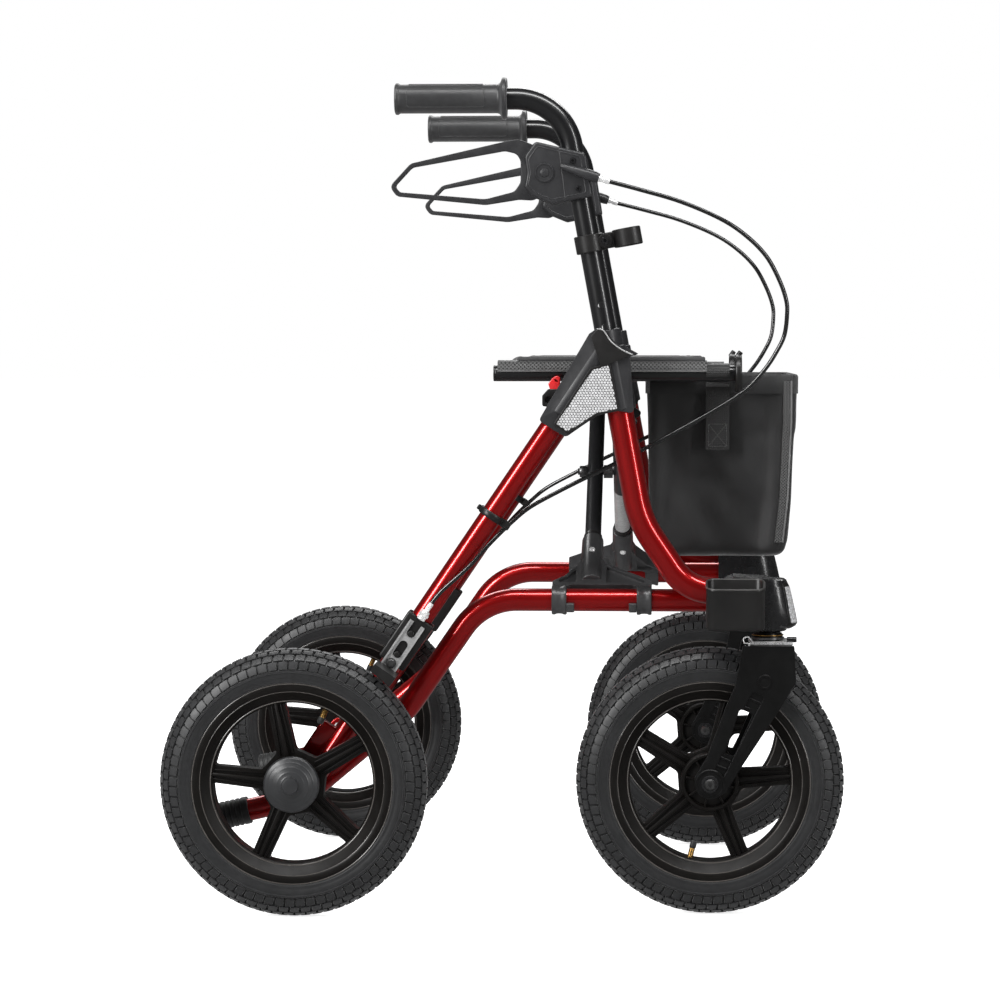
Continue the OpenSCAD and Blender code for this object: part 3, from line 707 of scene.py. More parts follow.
def rim_mesh(kind):
    """Moulded rim with ribbed spokes, centred on the origin, with its first spoke where the wheel's is."""
    turn = 360 / SPOKES
    first = FIRST_SPOKE[kind]
    # Disc with a window between every two spokes, and the well that holds the tyre
    disc = lathe([(24, -9), (100, -9), (100, 9), (24, 9)], steps=120)
    turns = [first + i * turn for i in range(SPOKES)]
    windows = [prism(window_outline(start, start + turn), -20, 20) for start in turns]
    parts = [solid(disc, 1.6, cut=windows, segments=2)]
    well = [
        (91, -11), (93, -13.5), (101, -17.6), (103.5, -21), (106, -22.6), (114, -22.6), (115.3, -21.8),
        (115.5, -20), (115.2, -18), (109, -17.6),
    ]
    parts.append(lathe(both_ends(well), steps=RIM_STEPS))
    # A rib along each spoke on both faces, with a bead along each of the spoke's edges
    for start in turns:
        place = Matrix.Rotation(-math.radians(start), 4, "Y")
        for s in (-1, 1):
            rib = prism([(22, -2.6), (97, -1.7), (97, 1.7), (22, 2.6)], 0, 7.5 if s > 0 else -7.5)
            bmesh.ops.translate(rib, verts=rib.verts, vec=(0, 7 * s, 0))
            for v in rib.verts:
                if abs(v.co.y) > 12 and v.co.x > 60:
                    v.co.y -= 2.2 * s
            rib.transform(place)
            parts.append(solid(rib, 0.9, segments=2))
            for edge in (-1, 1):
                line = [(33, 6.6 * edge), (94, 4.3 * edge), (94, 5.9 * edge), (33, 8.6 * edge)]
                bead = prism(line, 0, 3.2 * s)
                bmesh.ops.translate(bead, verts=bead.verts, vec=(0, 7.6 * s, 0))
                bead.transform(place)
                parts.append(solid(bead, 0.5, segments=2))
    if kind == "rear":
        barrel = [(6.2, -29), (22, -29), (24, -27), (29, -22), (31, -12)]
        parts.append(lathe(both_ends(barrel), steps=64))
    else:
        cup = [
            (6.2, -29), (13, -29), (14, -28), (14.5, -22), (27.5, -20), (28, -24.5), (29, -25.5),
            (31.5, -25.5), (32.5, -24.5), (33, -18),
        ]
        parts.append(lathe(both_ends(cup), steps=64))
        for i in range(8):
            for s in (-1, 1):
                rib = prism([(13, -1), (29, -1), (29, 1), (13, 1)], 19 * s, 24.6 * s)
                rib.transform(Matrix.Rotation(math.radians(45 * i + 12), 4, "Y"))
                parts.append(solid(rib, 0.4, segments=2))
    return joined(parts)


def rim_highlight_lines():
    """Fine raised lines round both faces of the rim, and along the edges of its windows' band, in a lighter
    grey that paints highlights along the rim's edges.
    """
    parts = []
    for s in (-1, 1):
        for r, w, bead in ((93.6, 13.4, 0.8), (113.6, 22.4, 0.75), (104.6, 21.4, 0.5)):
            line = [(r + bead * math.cos(a), w * s + bead * math.sin(a)) for a in circle(8)]
            parts.append(lathe(line, steps=RIM_STEPS))
    return joined(parts)


def at(obj, place):
    """The object moved to its place."""
    obj.data.transform(Matrix.Translation(place))
    return obj


def build_wheels():
    """Tyres, rims and valves."""
    for kind, axle in (("rear", REAR_AXLE), ("front", FRONT_AXLE)):
        body = f"{kind}_wheel"
        pair(f"{kind}_tyre", tyre_mesh(axle), body, TYRE_RUBBER, [f"{kind}_tyre"])
        rim = at(rim_mesh(kind), axle)
        pair(f"{kind}_rim", rim, body, RIM_BLACK, [f"{kind}_rim"])
        # Raised lines on the rim in a lighter grey: painted highlights
        pair(f"{kind}_rim_highlight_lines", at(rim_highlight_lines(), axle), body, RIM_HIGHLIGHT_PAINT)
        stem_turn = math.radians(FIRST_SPOKE[kind] + (36 if kind == "rear" else 252))
        out = Vector((math.cos(stem_turn), 0, math.sin(stem_turn)))
        foot = axle + out * 97
        thread = [(3.4 - 0.3 * (k % 2), 5.4 + 0.8 * k) for k in range(15)]
        stem = turned([(0, 0), (4.4, 0), (4.4, 5.4)] + thread + [(0, 17)], foot, -out, 24)
        pair(f"{kind}_valve_stem", stem, body, BRASS)
        cap = [(0, 0), (3.6, 0), (3.9, 1), (3.6, 6.5), (2.8, 8), (0, 8)]
        cap = turned(cap, foot - out * 16.5, -out, 24)
        pair(f"{kind}_valve_cap", cap, body, TIP_RUBBER)


def build_hubs():
    """Rear hub caps, and the axles with their heads and washers."""
    face = REAR_AXLE.y - 29
    # Domed cap, turned with fine rings, with a raised button in the middle
    slope = [(29.5, -1.2), (25, -3.6), (20, -6.2), (14.5, -8.2), (10, -9.5)]
    dome = [(6.4, 8), (29.5, 8), (31.6, 6), (31.6, 1.5), (31, 0)]
    for (r0, w0), (r1, w1) in zip(slope, slope[1:]):
        for k in range(5):
            share = k / 5
            dome.append((r0 + (r1 - r0) * share, w0 + (w1 - w0) * share + 0.3 * (k % 2)))
    dome += [(10, -9.5), (9.6, -12.2), (8.9, -13.4), (7, -14), (0, -14), (0, -12), (6.4, -12)]
    cap = lathe(dome, (REAR_AXLE.x, face, REAR_AXLE.z), 96)
    pair("hub_cap", cap, "rear_wheel", HUB_GREY, ["hub_cap"])
    for s, label in ((-1, "outer"), (1, "inner")):
        place = FRONT_AXLE + Vector((0, 43 * s, 0))
        washer = turned([(0, 0), (9.6, 0), (10, 0.4), (9.4, 1.4), (0, 1.4)], place, (0, s, 0), 40)
        nodes = ["front_axle"] if s < 0 else []
        pair(f"front_axle_washer_{label}", washer, "caster", HOUSING_BLACK, nodes)
        head = screw(place + Vector((0, 1.2 * s, 0)), (0, s, 0), 6.2)
        pair(f"front_axle_head_{label}", head, "caster", STEEL_DARK)
    spindle = rod(FRONT_AXLE + Vector((0, -43, 0)), FRONT_AXLE + Vector((0, 43, 0)), 6, 0.5, 24)
    pair("front_axle_spindle", spindle, "caster", ZINC)
    shaft = rod((REAR_AXLE.x, -220, REAR_AXLE.z), (REAR_AXLE.x, face - 5, REAR_AXLE.z), 6, 0.8, 24)
    pair("rear_axle_shaft", shaft, "frame", ZINC, ["rear_axle"])
    head = turned([(0, 0), (9, 0), (9, 5), (8, 6), (0, 6)], (REAR_AXLE.x, -223, REAR_AXLE.z), (0, 1, 0), 6)
    pair("rear_axle_head", head, "frame", ZINC)


# ---- Frame ----


def xz(points, y):
    """Points in the upright plane at y."""
    return [Vector((x, y, z)) for x, z in points]


def build_tubes():
    """The three red tubes of a side."""
    lower = xz([(278, LOWER_Z), (-24.9, LOWER_Z), (-112.3, 228.2), (-236, 124), (-336, 101)], LOWER_Y)
    front = [on_lean(660)] + xz([LEG_BEND, LEG_KNEE, LEG_TOE], LEG_Y)
    for name, points, bends, size in (
        ("lower_tube", lower, [0, 75, 90, 70, 0], LOWER_D),
        ("front_leg", front, [0, 120, 55, 0], FRONT_LEG_D),
    ):
        tube = sweep(bent_path(points, bends, 3), size / 2, 48)
        pair(name, tube, "frame", PAINT_RED, [name])
    leg = rod(on_rear_leg(4), on_rear_leg(606), REAR_LEG_D / 2, 1.5, 48)
    boss_low, boss_high = -280.5, -224.5
    boss = rod((REAR_AXLE.x, boss_low, WHEEL_R), (REAR_AXLE.x, boss_high, WHEEL_R), 14, 1.5, 48)
    hole = rod((REAR_AXLE.x, -300, WHEEL_R), (REAR_AXLE.x, -200, WHEEL_R), 6.1, 0.2, 24)
    bracket = block((28, 8, -9), (72, 29, 9), leg_frame(0))
    piece = joined([solid(leg, add=[boss], cut=[hole]), solid(bracket, 2.0)])
    pair("rear_leg", piece, "frame", PAINT_RED, ["rear_leg"])


def build_tip_sleeve():
    """Ribbed rubber sleeve on the lower tube, for tipping the walker with a foot."""
    end, before = Vector((-336, LOWER_Y, 101)), Vector((-236, LOWER_Y, 124))
    way = (before - end).normalized()
    profile = [(13.1, 46), (15.2, 46), (15.9, 45.2), (16, 43)]
    for k in range(6):
        base = 36 - 6 * k
        profile += [(16, base + 2.6), (15.1, base + 1.8), (15.1, base + 0.6), (16, base - 0.2)]
    profile += [(16, 2), (15.2, 0.7), (13.6, 0.1), (0, 0), (0, 3.9), (13.1, 3.9)]
    sleeve = turned(profile, end - way * 4, way, 48)
    pair("tip_sleeve", sleeve, "frame", TIP_RUBBER, ["tip_sleeve"])


NOSE_LEVELS = (
    # height, forward reach from the swivel, half width
    (326, 26, 16), (329, 31, 19.5), (333, 33.4, 21.2), (345, 30.8, 21.8), (360, 27.4, 21.8), (374, 24, 21.4),
    (380, 21, 20), (383, 16, 17),
)


def nose_point(turn, reach, half, out=0.0):
    """Point on the housing's rounded nose. A turn of zero faces forward, and -90 degrees faces outboard."""
    a = math.radians(turn)
    return (SWIVEL.x + (reach + out) * math.cos(a), SWIVEL.y + (half + out) * math.sin(a))


def on_swivel(profile, z, steps=64):
    """Turns a profile about the caster's swivel axis, from a height upwards."""
    return turned(profile, (SWIVEL.x, SWIVEL.y, z), (0, 0, 1), steps)


def build_caster_housing():
    """Cast housing of the swivel, with a reflector strip on its nose."""
    profile = [(0, 0), (19, 0), (21.2, 1.2), (21.8, 3.5), (21.8, 55), (21, 58.2), (18.5, 60), (0, 60)]
    body = on_swivel(profile, 323)
    sections = []
    for z, reach, half in NOSE_LEVELS:
        plan = [nose_point(turn, reach, half) for turn in ramp(-90, 90, 24)]
        sections.append((plan, z))
    nose = stack(sections)
    side = [(252, 336), (290, 326), (301, 326), (301, 383), (262, 385), (252, 380)]
    arm = prism(rounded(side, [4, 6, 0, 0, 6, 4]), -290, -221)
    bore = rod((SWIVEL.x, SWIVEL.y, 310), (SWIVEL.x, SWIVEL.y, 375), 10.3, 0.2, 32)
    low = rod((230, LOWER_Y, LOWER_Z), (278.1, LOWER_Y, LOWER_Z), LOWER_D / 2 + FIT, 0.2, 48)
    leg = rod(*xz([LEG_KNEE, (LEG_TOE[0] + 0.1, LEG_TOE[1])], LEG_Y), FRONT_LEG_D / 2 + FIT, 0.2, 48)
    obj = solid(arm, cut=[low, leg], add=[body, nose])
    combine(obj, [bore], "DIFFERENCE")
    soften(obj, 1.6, 3, 40)
    pair("caster_housing", obj, "frame", HOUSING_BLACK, ["caster_housing"])
    # Reflector strip let into the nose's outboard corner, in a dark border
    for name, turns, levels, out, slot_name, material in (
        ("caster_reflector_border", (-46, -6), (1, 6), 0.5, "plastic_dark", PLASTIC_DARK),
        ("caster_reflector", (-40, -11), (2, 5), 1.1, "reflector", REFLECTOR_STRIP),
    ):
        sections = []
        for z, reach, half in NOSE_LEVELS[levels[0]:levels[1] + 1]:
            row = ramp(*turns, 12)
            plan = [nose_point(a, reach, half, out) for a in row]
            plan += [nose_point(a, reach, half, -1.0) for a in reversed(row)]
            sections.append((plan, z))
        pair(name, solid(stack(sections), 0.3, segments=2), "frame", material)


def build_fork():
    """Caster fork, with its crown plate in light zinc that partly paints a highlight on the crown's top,
    races and wire clip.
    """
    outline = [
        (272, 309), (330, 309), (332, 268), (314, 238), (267, 166), (253, 143),
        (235.7, 133.5), (219.7, 144.5), (217.7, 158.5), (232, 183), (254, 242), (264, 264),
    ]
    shape = rounded(outline, [2, 2, 10, 0, 0, 14, 19, 12, 12, 20, 30, 20])
    slot_outline = rounded([(269, 238), (284, 232), (263, 184), (252, 187)], 3.5)
    channel = rounded([(283, 258), (297, 252), (250, 158), (238, 164)], 4)
    arms = []
    for s in (-1, 1):
        inner, outer = SWIVEL.y + 34 * s, SWIVEL.y + 43 * s
        arm = prism(shape, min(inner, outer), max(inner, outer))
        opening = prism(slot_outline, SWIVEL.y + 30 * s - 20, SWIVEL.y + 30 * s + 20)
        recess = prism(channel, min(outer - 2.4 * s, outer + 5 * s), max(outer - 2.4 * s, outer + 5 * s))
        reach = Vector((0, 60, 0))
        bore = rod(FRONT_AXLE - reach, FRONT_AXLE + reach, 6.1, 0.2, 24)
        arms.append(solid(arm, 1.6, cut=[opening, bore, recess]))
        # Cross ribs in the channel, a rim round the slot, a boss above it and one round the axle
        for x, z in ((286, 247), (275, 240), (252.5, 181), (248, 172)):
            edge = outer - 2.2 * s
            rib = sweep([(x - 6, edge, z + 2.6), (x + 6, edge, z - 2.6)], 1.3, 12)
            arms.append(rib)
        for x, z, r in ((297, 268.5, 8.6), (FRONT_AXLE.x, WHEEL_R, 17)):
            ring = [(0, 0), (r, 0), (r, 1.2), (r - 1, 2.2), (r - 2.4, 2.2), (r - 3, 1.4), (0, 1.4)]
            arms.append(turned(ring, (x, outer - 0.9 * s, z), (0, s, 0), 40))
    crown = block((286, SWIVEL.y - 34.5, 299), (322, SWIVEL.y + 34.5, 309))
    cup = on_swivel([(0, 0), (17, 0), (17, 11), (16, 13), (0, 13)], 308, 48)
    stem = rod((SWIVEL.x, SWIVEL.y, 308), (SWIVEL.x, SWIVEL.y, 371.5), 10, 0.8, 32)
    arms += [solid(crown, 1.5), cup, stem]
    pair("fork", joined(arms), "caster", CAST_BLACK, ["fork"])
    # Zinc plate on the crown, its light colour partly a painted highlight on the crown's top, a race above
    # it, and a thin wire clip at the crown's rear
    plate_outline = rounded([(280, 309.2), (329, 309.2), (329, 312.4), (280, 312.4)], 0.8, 3)
    top = prism(plate_outline, SWIVEL.y - 30, SWIVEL.y + 30)
    pair("crown_highlight_plate", solid(top, 0.4, segments=2), "caster", ZINC)
    race = on_swivel([(17.1, 0), (18.8, 0.4), (18.8, 2.6), (17.1, 3)], 313.5)
    pair("swivel_race", race, "caster", STEEL_DARK)
    seal = on_swivel([(17.1, 0), (18.2, 0.3), (18.2, 1), (17.1, 1.3)], 318)
    pair("swivel_seal", seal, "caster", BRASS)
    y = SWIVEL.y - 37
    wire = spline([
        (283, y + 4, 313), (278, y, 319), (273, y, 317), (274, y, 312), (279, y, 311),
        (277, y, 303), (272, y, 292), (270, y - 1.5, 291), (274, y - 3, 302), (276, y - 3, 309),
    ])
    pair("crown_clip", sweep(wire, 0.8, 10), "caster", ZINC)
    bolt = rod((322, SWIVEL.y - 24, 315), (333, SWIVEL.y - 24, 315), 3.2, 0.8, 20)
    pair("crown_stop", bolt, "caster", HOUSING_BLACK)


# Reflector's hexagonal cells: how far apart, how large and how high
CELL_PITCH = 3.4
CELL_R = 1.58
CELL_RISE = 0.6


def hexagons(outline, pitch):
    """Centres of a honeycomb that fills an outline."""
    xs, zs = [p[0] for p in outline], [p[1] for p in outline]
    centres = []
    row = 0
    z = min(zs)
    while z < max(zs):
        x = min(xs) + (pitch / 2 if row % 2 else 0)
        while x < max(xs):
            centres.append((x, z))
            x += pitch
        z += pitch * math.sqrt(3) / 2
        row += 1
    return [c for c in centres if inside(c, outline)]


def inside(point, outline):
    """Whether a point is inside an outline."""
    x, z = point
    odd = False
    for (x1, z1), (x2, z2) in zip(outline, outline[1:] + outline[:1]):
        if (z1 > z) != (z2 > z) and x < (x2 - x1) * (z - z1) / (z2 - z1) + x1:
            odd = not odd
    return odd


def shrunk(outline, share):
    """The outline scaled about its middle."""
    cx = sum(p[0] for p in outline) / len(outline)
    cz = sum(p[1] for p in outline) / len(outline)
    return [(cx + (x - cx) * share, cz + (z - cz) * share) for x, z in outline]


def build_junction():
    """Plastic cover where the legs meet, with its cap and honeycomb reflector."""
    outline = [
        (41, 562), (58, 551), (72, 543), (89, 555), (106, 567.5), (131, 573), (149, 570),
        (144, 634), (149, 636), (136, 643), (126, 652), (115, 665), (108, 667), (98, 660),
    ]
    shape = rounded(outline, [5, 2, 6, 6, 6, 6, 5, 3, 2, 6, 6, 3, 2, 3])
    web = prism(shape, LEG_Y - 17, LEG_Y + 17)
    # Sleeves over the rear leg and the front leg, and the collar that holds the handle tube
    lower_end, upper_end = on_rear_leg(512), on_rear_leg(600)
    rear_sleeve = rod(lower_end, upper_end, (18.5, 19), 2, 48)
    front_sleeve = rod(on_lean(573), on_lean(645), (19, 18.5), 2, 48)
    collar = rod(on_lean(636), on_lean(COLLAR_TOP), 17, 1.5, 48)
    bores = [
        rod(on_lean(500), on_lean(660), FRONT_LEG_D / 2 + FIT, 0.1, 48),
        rod(on_lean(600), on_lean(720), HANDLE_D / 2 + FIT, 0.1, 48),
        rod(on_rear_leg(300), on_rear_leg(602), REAR_LEG_D / 2 + FIT, 0.1, 48),
    ]
    obj = solid(web, 3.0, segments=3)
    combine(obj, (rear_sleeve, front_sleeve, collar), "UNION")
    combine(obj, bores, "DIFFERENCE")
    pair("junction_cover", obj, "frame", PLASTIC_GREY, ["junction_cover"])

    # Shelf that the seat rail rests on
    shelf_top = RAIL_Z - RAIL_D / 2 - 0.3
    shelf = block((68, LEG_Y + 12, shelf_top - 8), (87, -RAIL_Y + 10, shelf_top))
    pair("rail_shelf", solid(shelf, 1.2), "frame", PLASTIC_DARK)

    # Near cap with a raised edge that sweeps from the collar down to the front
    cap = [
        (100, 657), (108, 666), (115, 664), (124, 652), (136, 643), (147, 637), (134, 631), (112, 622),
    ]
    obj = solid(prism(rounded(cap, 3), LEG_Y - 21.5, LEG_Y - 16), 1.2)
    pair("junction_cap", obj, "frame", PLASTIC_DARK)
    edge = spline([
        (107, LEG_Y - 21.2, 665.5), (114.5, LEG_Y - 21.4, 663.5), (123, LEG_Y - 21.6, 651.5),
        (134.5, LEG_Y - 21.6, 642.5), (147, LEG_Y - 21.2, 636.5),
    ], 8)
    pair("junction_cap_edge", sweep(edge, 0.75, 12), "frame", ALLOY)

    # Reflector: a dark frame round a silver plate covered in small hexagonal pyramids
    glass = [(101.5, 620), (120.5, 625.5), (131, 575), (106, 569.5), (87, 556.5), (73, 549), (60, 558)]
    y = LEG_Y - 19
    plate_shape = rounded(glass, 2.5)
    pair("junction_reflector", solid(prism(plate_shape, y - 0.9, y + 1.6), 0.3, segments=2),
         "frame", REFLECTOR_BACK, ["junction_reflector"])
    cells = bmesh.new()
    for cx, cz in hexagons(glass, CELL_PITCH):
        rim = [(cx + CELL_R * math.cos(a), cz + CELL_R * math.sin(a)) for a in circle(6, math.pi / 6)]
        foot = [cells.verts.new((px, y - 0.7, pz)) for px, pz in rim]
        top = [cells.verts.new((px, y - 1.2, pz)) for px, pz in rim]
        tip = cells.verts.new((cx, y - 1.2 - CELL_RISE, cz))
        for k in range(6):
            j = (k + 1) % 6
            cells.faces.new((foot[k], foot[j], top[j], top[k]))
            cells.faces.new((top[k], top[j], tip))
        cells.faces.new(foot[::-1])
    pair("reflector_cells", cells, "frame", REFLECTOR)
    frame_outer = prism(rounded(grown(glass, 2.4), 4), y - 1.9, y + 3)
    opening = prism(rounded(grown(glass, -0.9), 2.5), y - 10, y + 10)
    obj = solid(frame_outer, 0.4, cut=[opening], segments=2)
    pair("reflector_frame", obj, "frame", PLASTIC_DARK)


def grown(outline, reach):
    """The outline moved outwards by reach."""
    points = [Vector(p) for p in outline]
    count = len(points)
    area = sum(points[i - 1].x * points[i].y - points[i].x * points[i - 1].y for i in range(count))
    sign = 1 if area > 0 else -1
    result = []
    for i, p in enumerate(points):
        a, b = (p - points[i - 1]).normalized(), (points[(i + 1) % count] - p).normalized()
        normal = Vector((a.y + b.y, -a.x - b.x)).normalized() * sign
        result.append(tuple(p + normal * reach))
    return result


# ---- Handle ----


def build_handle():
    """Handle tube with its height holes, and the grip."""
    bottom, corner = on_lean(530), on_lean(GRIP_Z)
    path = bent_path([bottom, corner, Vector((-120, LEG_Y, GRIP_Z))], [0, BEND_R, 0], 3)
    tube = as_object(sweep(path, HANDLE_D / 2, 48))
    holes = []
    way = (bottom - on_lean(HOLE_TOP)).normalized()
    for i in range(HEIGHT_HOLES):
        p = on_lean(HOLE_TOP) + way * HOLE_PITCH * i
        holes.append(rod(p + Vector((0, -20, 0)), p + Vector((0, 20, 0)), 3.5, 0.1, 24))
    combine(tube, holes, "DIFFERENCE")
    pair("handle_tube", tube, "handle", GLOSS_BLACK, ["handle_tube"])

    # Grip with a rounded end and a thumb flange
    start = Vector((-123, LEG_Y, GRIP_Z))
    profile = [
        (0, 0), (15.5, 0), (17.4, 0.8), (18, 2), (18, 4), (17.2, 5.2), (GRIP_R, 6.5), (GRIP_R, 116.5),
        (17.2, 118.5), (18.8, 120.2), (22.5, 121.4), (24, 122.6), (24, 125.2), (23.2, 126.8), (22, 127.4),
        (12.6, 127.4), (12.6, 3), (0, 3),
    ]
    grip = turned(profile, start, (1, 0, 0), 72)
    pair("grip", grip, "handle", GRIP_RUBBER, ["grip"])
    # Raised outline of a panel on each side of the grip, and fine ribs along its top
    trims = []
    low, high = start.x + 14, start.x + 102
    reach = math.radians(38)
    for s in (-1, 1):
        corner_list = [(low, -reach), (high, -reach), (high, reach), (low, reach)]
        flat = rounded([(x, a * GRIP_R) for x, a in corner_list], 4, 6)
        loop = []
        for x, arc in dense(flat, 4):
            a = arc / GRIP_R
            loop.append(Vector((x, LEG_Y + s * GRIP_R * math.cos(a), GRIP_Z + GRIP_R * math.sin(a))))
        trims.append(ring_sweep(loop, 0.55, 10))
    for a in ramp(math.radians(58), math.radians(122), 8):
        y, z = LEG_Y + 16.4 * math.cos(a), GRIP_Z + 16.4 * math.sin(a)
        rib = rod((low + 2, y, z), (high - 2, y, z), 0.6, 0.3, 10)
        trims.append(rib)
    pair("grip_panel", joined(trims), "handle", GRIP_RUBBER)


def dense(points, step):
    """A closed line through the points with extra points at most step apart."""
    result = []
    for a, b in zip(points, points[1:] + points[:1]):
        a, b = Vector(a), Vector(b)
        count = max(1, math.ceil((b - a).length / step))
        result += [a.lerp(b, k / count) for k in range(count)]
    return result


def ring_sweep(loop, radius, sides=12):
    """Round bead along a closed line."""
    rings = []
    count = len(loop)
    for i, p in enumerate(loop):
        t = (loop[(i + 1) % count] - loop[i - 1]).normalized()
        out = Vector((0, p.y - LEG_Y, p.z - GRIP_Z))
        u = (out - t * out.dot(t)).normalized()
        v = t.cross(u)
        rings.append([p + radius * (math.cos(a) * u + math.sin(a) * v) for a in circle(sides)])
    return loft(rings, loop=True)


def screw(place, way, r=3.4):
    """Round screw head with a hexagon socket, standing on place."""
    head = turned([(0, 0), (r, 0), (r, r * 0.45), (r * 0.8, r * 0.7), (0, r * 0.7)], place, way, 28)
    start = Vector(place) + Vector(way) * r * 0.25
    socket = turned([(0, 0), (r * 0.45, 0), (r * 0.45, r), (0, r)], start, way, 6)
    return solid(head, cut=[socket])


def build_lever():
    """Brake lever, its housing and the cable barrel."""
    outline = [
        (37, 877), (66, 870), (92, 864), (95, 859), (102, 815), (56, 806), (34, 815), (24.5, 825),
        (27.5, 841), (24.5, 860),
    ]
    shape = rounded(outline, [6, 10, 4, 3, 4, 6, 12, 6, 20, 10])
    body = prism(shape, LEG_Y - 20, LEG_Y + 20)
    slot = block((0, LEG_Y - 7.3, 790), (LEVER_PIVOT.x + 16, LEG_Y + 7.3, 890))
    bore = rod(on_lean(780), on_lean(900), HANDLE_D / 2 + FIT, 0.1, 48)
    obj = solid(body, 3.2, segments=4)
    combine(obj, [slot, bore], "DIFFERENCE")
    soften(obj, 0.6, 2, 50)
    parts = [obj]
    # Raised field with a plain round boss, and the line where the two halves of the clamp meet
    out = Vector((0, -1, 0))
    for s in (-1, 1):
        way = Vector((0, s, 0))
        face = LEG_Y + 20 * s
        dish = [(0, 0), (11, 0), (11, 1.6), (10.2, 2.4), (9.3, 2.4), (8.9, 1.7), (0, 1.7)]
        parts.append(turned(dish, (LEVER_PIVOT.x, face - 0.6 * s, LEVER_PIVOT.z), way, 48))
        dome = [(0, 0), (5.2, 0), (4.6, 1.2), (2.5, 1.9), (0, 2.1)]
        parts.append(turned(dome, (LEVER_PIVOT.x, face + 0.6 * s, LEVER_PIVOT.z), way, 32))
        # Fine raised line round the face, and one between the lever's side and the clamp
        field = [(x, face - 0.1 * s, z) for x, z in dense(shrunk(shape, 0.84), 6)]
        parts.append(sweep(field + field[:1], 0.55, 8))
        seam = spline([(64, face - 0.1 * s, 868), (67, face - 0.1 * s, 845), (71, face - 0.1 * s, 812)], 6)
        parts.append(sweep(seam, 0.55, 8))
    pin = rod(LEVER_PIVOT + Vector((0, -9, 0)), LEVER_PIVOT + Vector((0, 9, 0)), 4, 0.2, 24)
    parts.append(pin)
    pair("lever_housing", joined(parts), "handle", PLASTIC_GREY, ["lever_housing"])
    heads = [screw(p, out) for p in ((79.5, LEG_Y - 19.6, 855), (86, LEG_Y - 19.6, 823.5))]
    pair("housing_screws", joined(heads), "handle", HOUSING_BLACK)

    start, end, tip = Vector((66, -289, 849)), Vector((109, -291, 835)), Vector((121.5, -291.5, 831))
    stops = [start.lerp(end, share) for share in (0, 0.1, 0.72, 0.9, 1)]
    barrel = sweep(stops, [2.2, 3.6, 6.2, 6.2, 5.4], 32)
    pair("cable_barrel", barrel, "handle", PLASTIC_GREY)
    way = (tip - end).normalized()
    ferrule = [(0, 0), (3.6, 0), (3.6, 3), (3.0, 3.4), (3.0, 6), (3.5, 6.4), (3.5, 12), (2.9, 13), (0, 13)]
    pair("cable_adjuster", turned(ferrule, end, way, 24), "handle", ZINC)

    lever = [
        (-129, 827), (-105, 853), (6, 878.5), (19, 880), (36, 873), (55, 854), (61.5, 841.4), (55, 829),
        (36, 811), (18, 812), (-20, 806), (-121, 816),
    ]
    window = [
        (-123, 827), (-103, 848.5), (2, 867), (15, 864), (20, 856), (20, 831), (13, 821), (-20, 812.5),
        (-117, 820.5),
    ]
    outer = rounded(lever, [8, 12, 30, 14, 14, 10, 14, 10, 14, 14, 30, 8], 7)
    inner = rounded(window, [6, 10, 14, 10, 12, 12, 10, 26, 6], 7)
    body = prism(outer, LEG_Y - 7, LEG_Y + 7)
    bore = rod(LEVER_PIVOT + Vector((0, -20, 0)), LEVER_PIVOT + Vector((0, 20, 0)), 4.05, 0.1, 24)
    obj = solid(body, cut=[prism(inner, LEG_Y - 20, LEG_Y + 20), bore])
    soften(obj, 2.0, 4, 50)
    for v in obj.data.vertices:
        share = min(1, max(0, (v.co.x - 8) / 14))
        v.co.y = LEG_Y + (v.co.y - LEG_Y) * (0.7 + 0.3 * share)
    pair("brake_lever", obj, "brake_lever", PLASTIC_GREY, ["brake_lever"])


CABLE_ROUTE = [
    (121.5, -291.5, 831), (156, -287, 822), (201, -280, 809), (246, -272, 790), (275, -266, 771),
    (298, -262, 748), (313, -259, 721), (321, -257, 698), (322, -256, 681), (319, -254, 658),
    (310, -252, 639), (298, -250, 620.5), (281, -249, 601), (264, -248, 587.5), (224, -247, 563.5),
    (178, -247, 538), (156, -247, 527), (129, -248, 513), (98, -250, 498), (64, -254, 481),
    (31, -260, 463), (10, -267, 446), (-14, -276, 422.5), (-38, -282, 396), (-68.5, -283.5, 368.5),
    (-80.4, -283, 354.6),
]


def build_cables():
    """Brake cables, from the lever's barrel on the handle down to the brake on the frame."""
    path = spline(CABLE_ROUTE, 7)
    right = as_object(sweep(path, CABLE_D / 2, 16))
    right.name = "brake_cable_right"
    left = mirrored(right, "brake_cable_left")
    for side, sign, obj in (("right", -1, right), ("left", 1, left)):
        dress(obj, None, SHEATH, [f"{side}_brake_cable"])
        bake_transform(obj)


def build_knob():
    """Star knob that clamps the handle tube."""
    p = on_lean(560)
    base = Vector((p.x, LEG_Y + FRONT_LEG_D / 2 + 0.3, p.z))
    outline = []
    for a in circle(60):
        r = 14.6 + 2.4 * math.cos(5 * a)
        outline.append((base.x + r * math.cos(a), base.z + r * math.sin(a)))
    star = prism(outline, base.y + 8, base.y + 21)
    neck = rod(base, base + Vector((0, 10, 0)), 7, 0.5, 32)
    cap = turned([(0, 0), (8, 0), (7.4, 1), (0, 1.4)], base + Vector((0, 20.6, 0)), (0, 1, 0), 32)
    obj = joined([solid(star, 1.6), neck, cap])
    pair("height_knob", obj, "height_knob", PLASTIC_DARK, ["height_knob"])


# ---- Brake ----


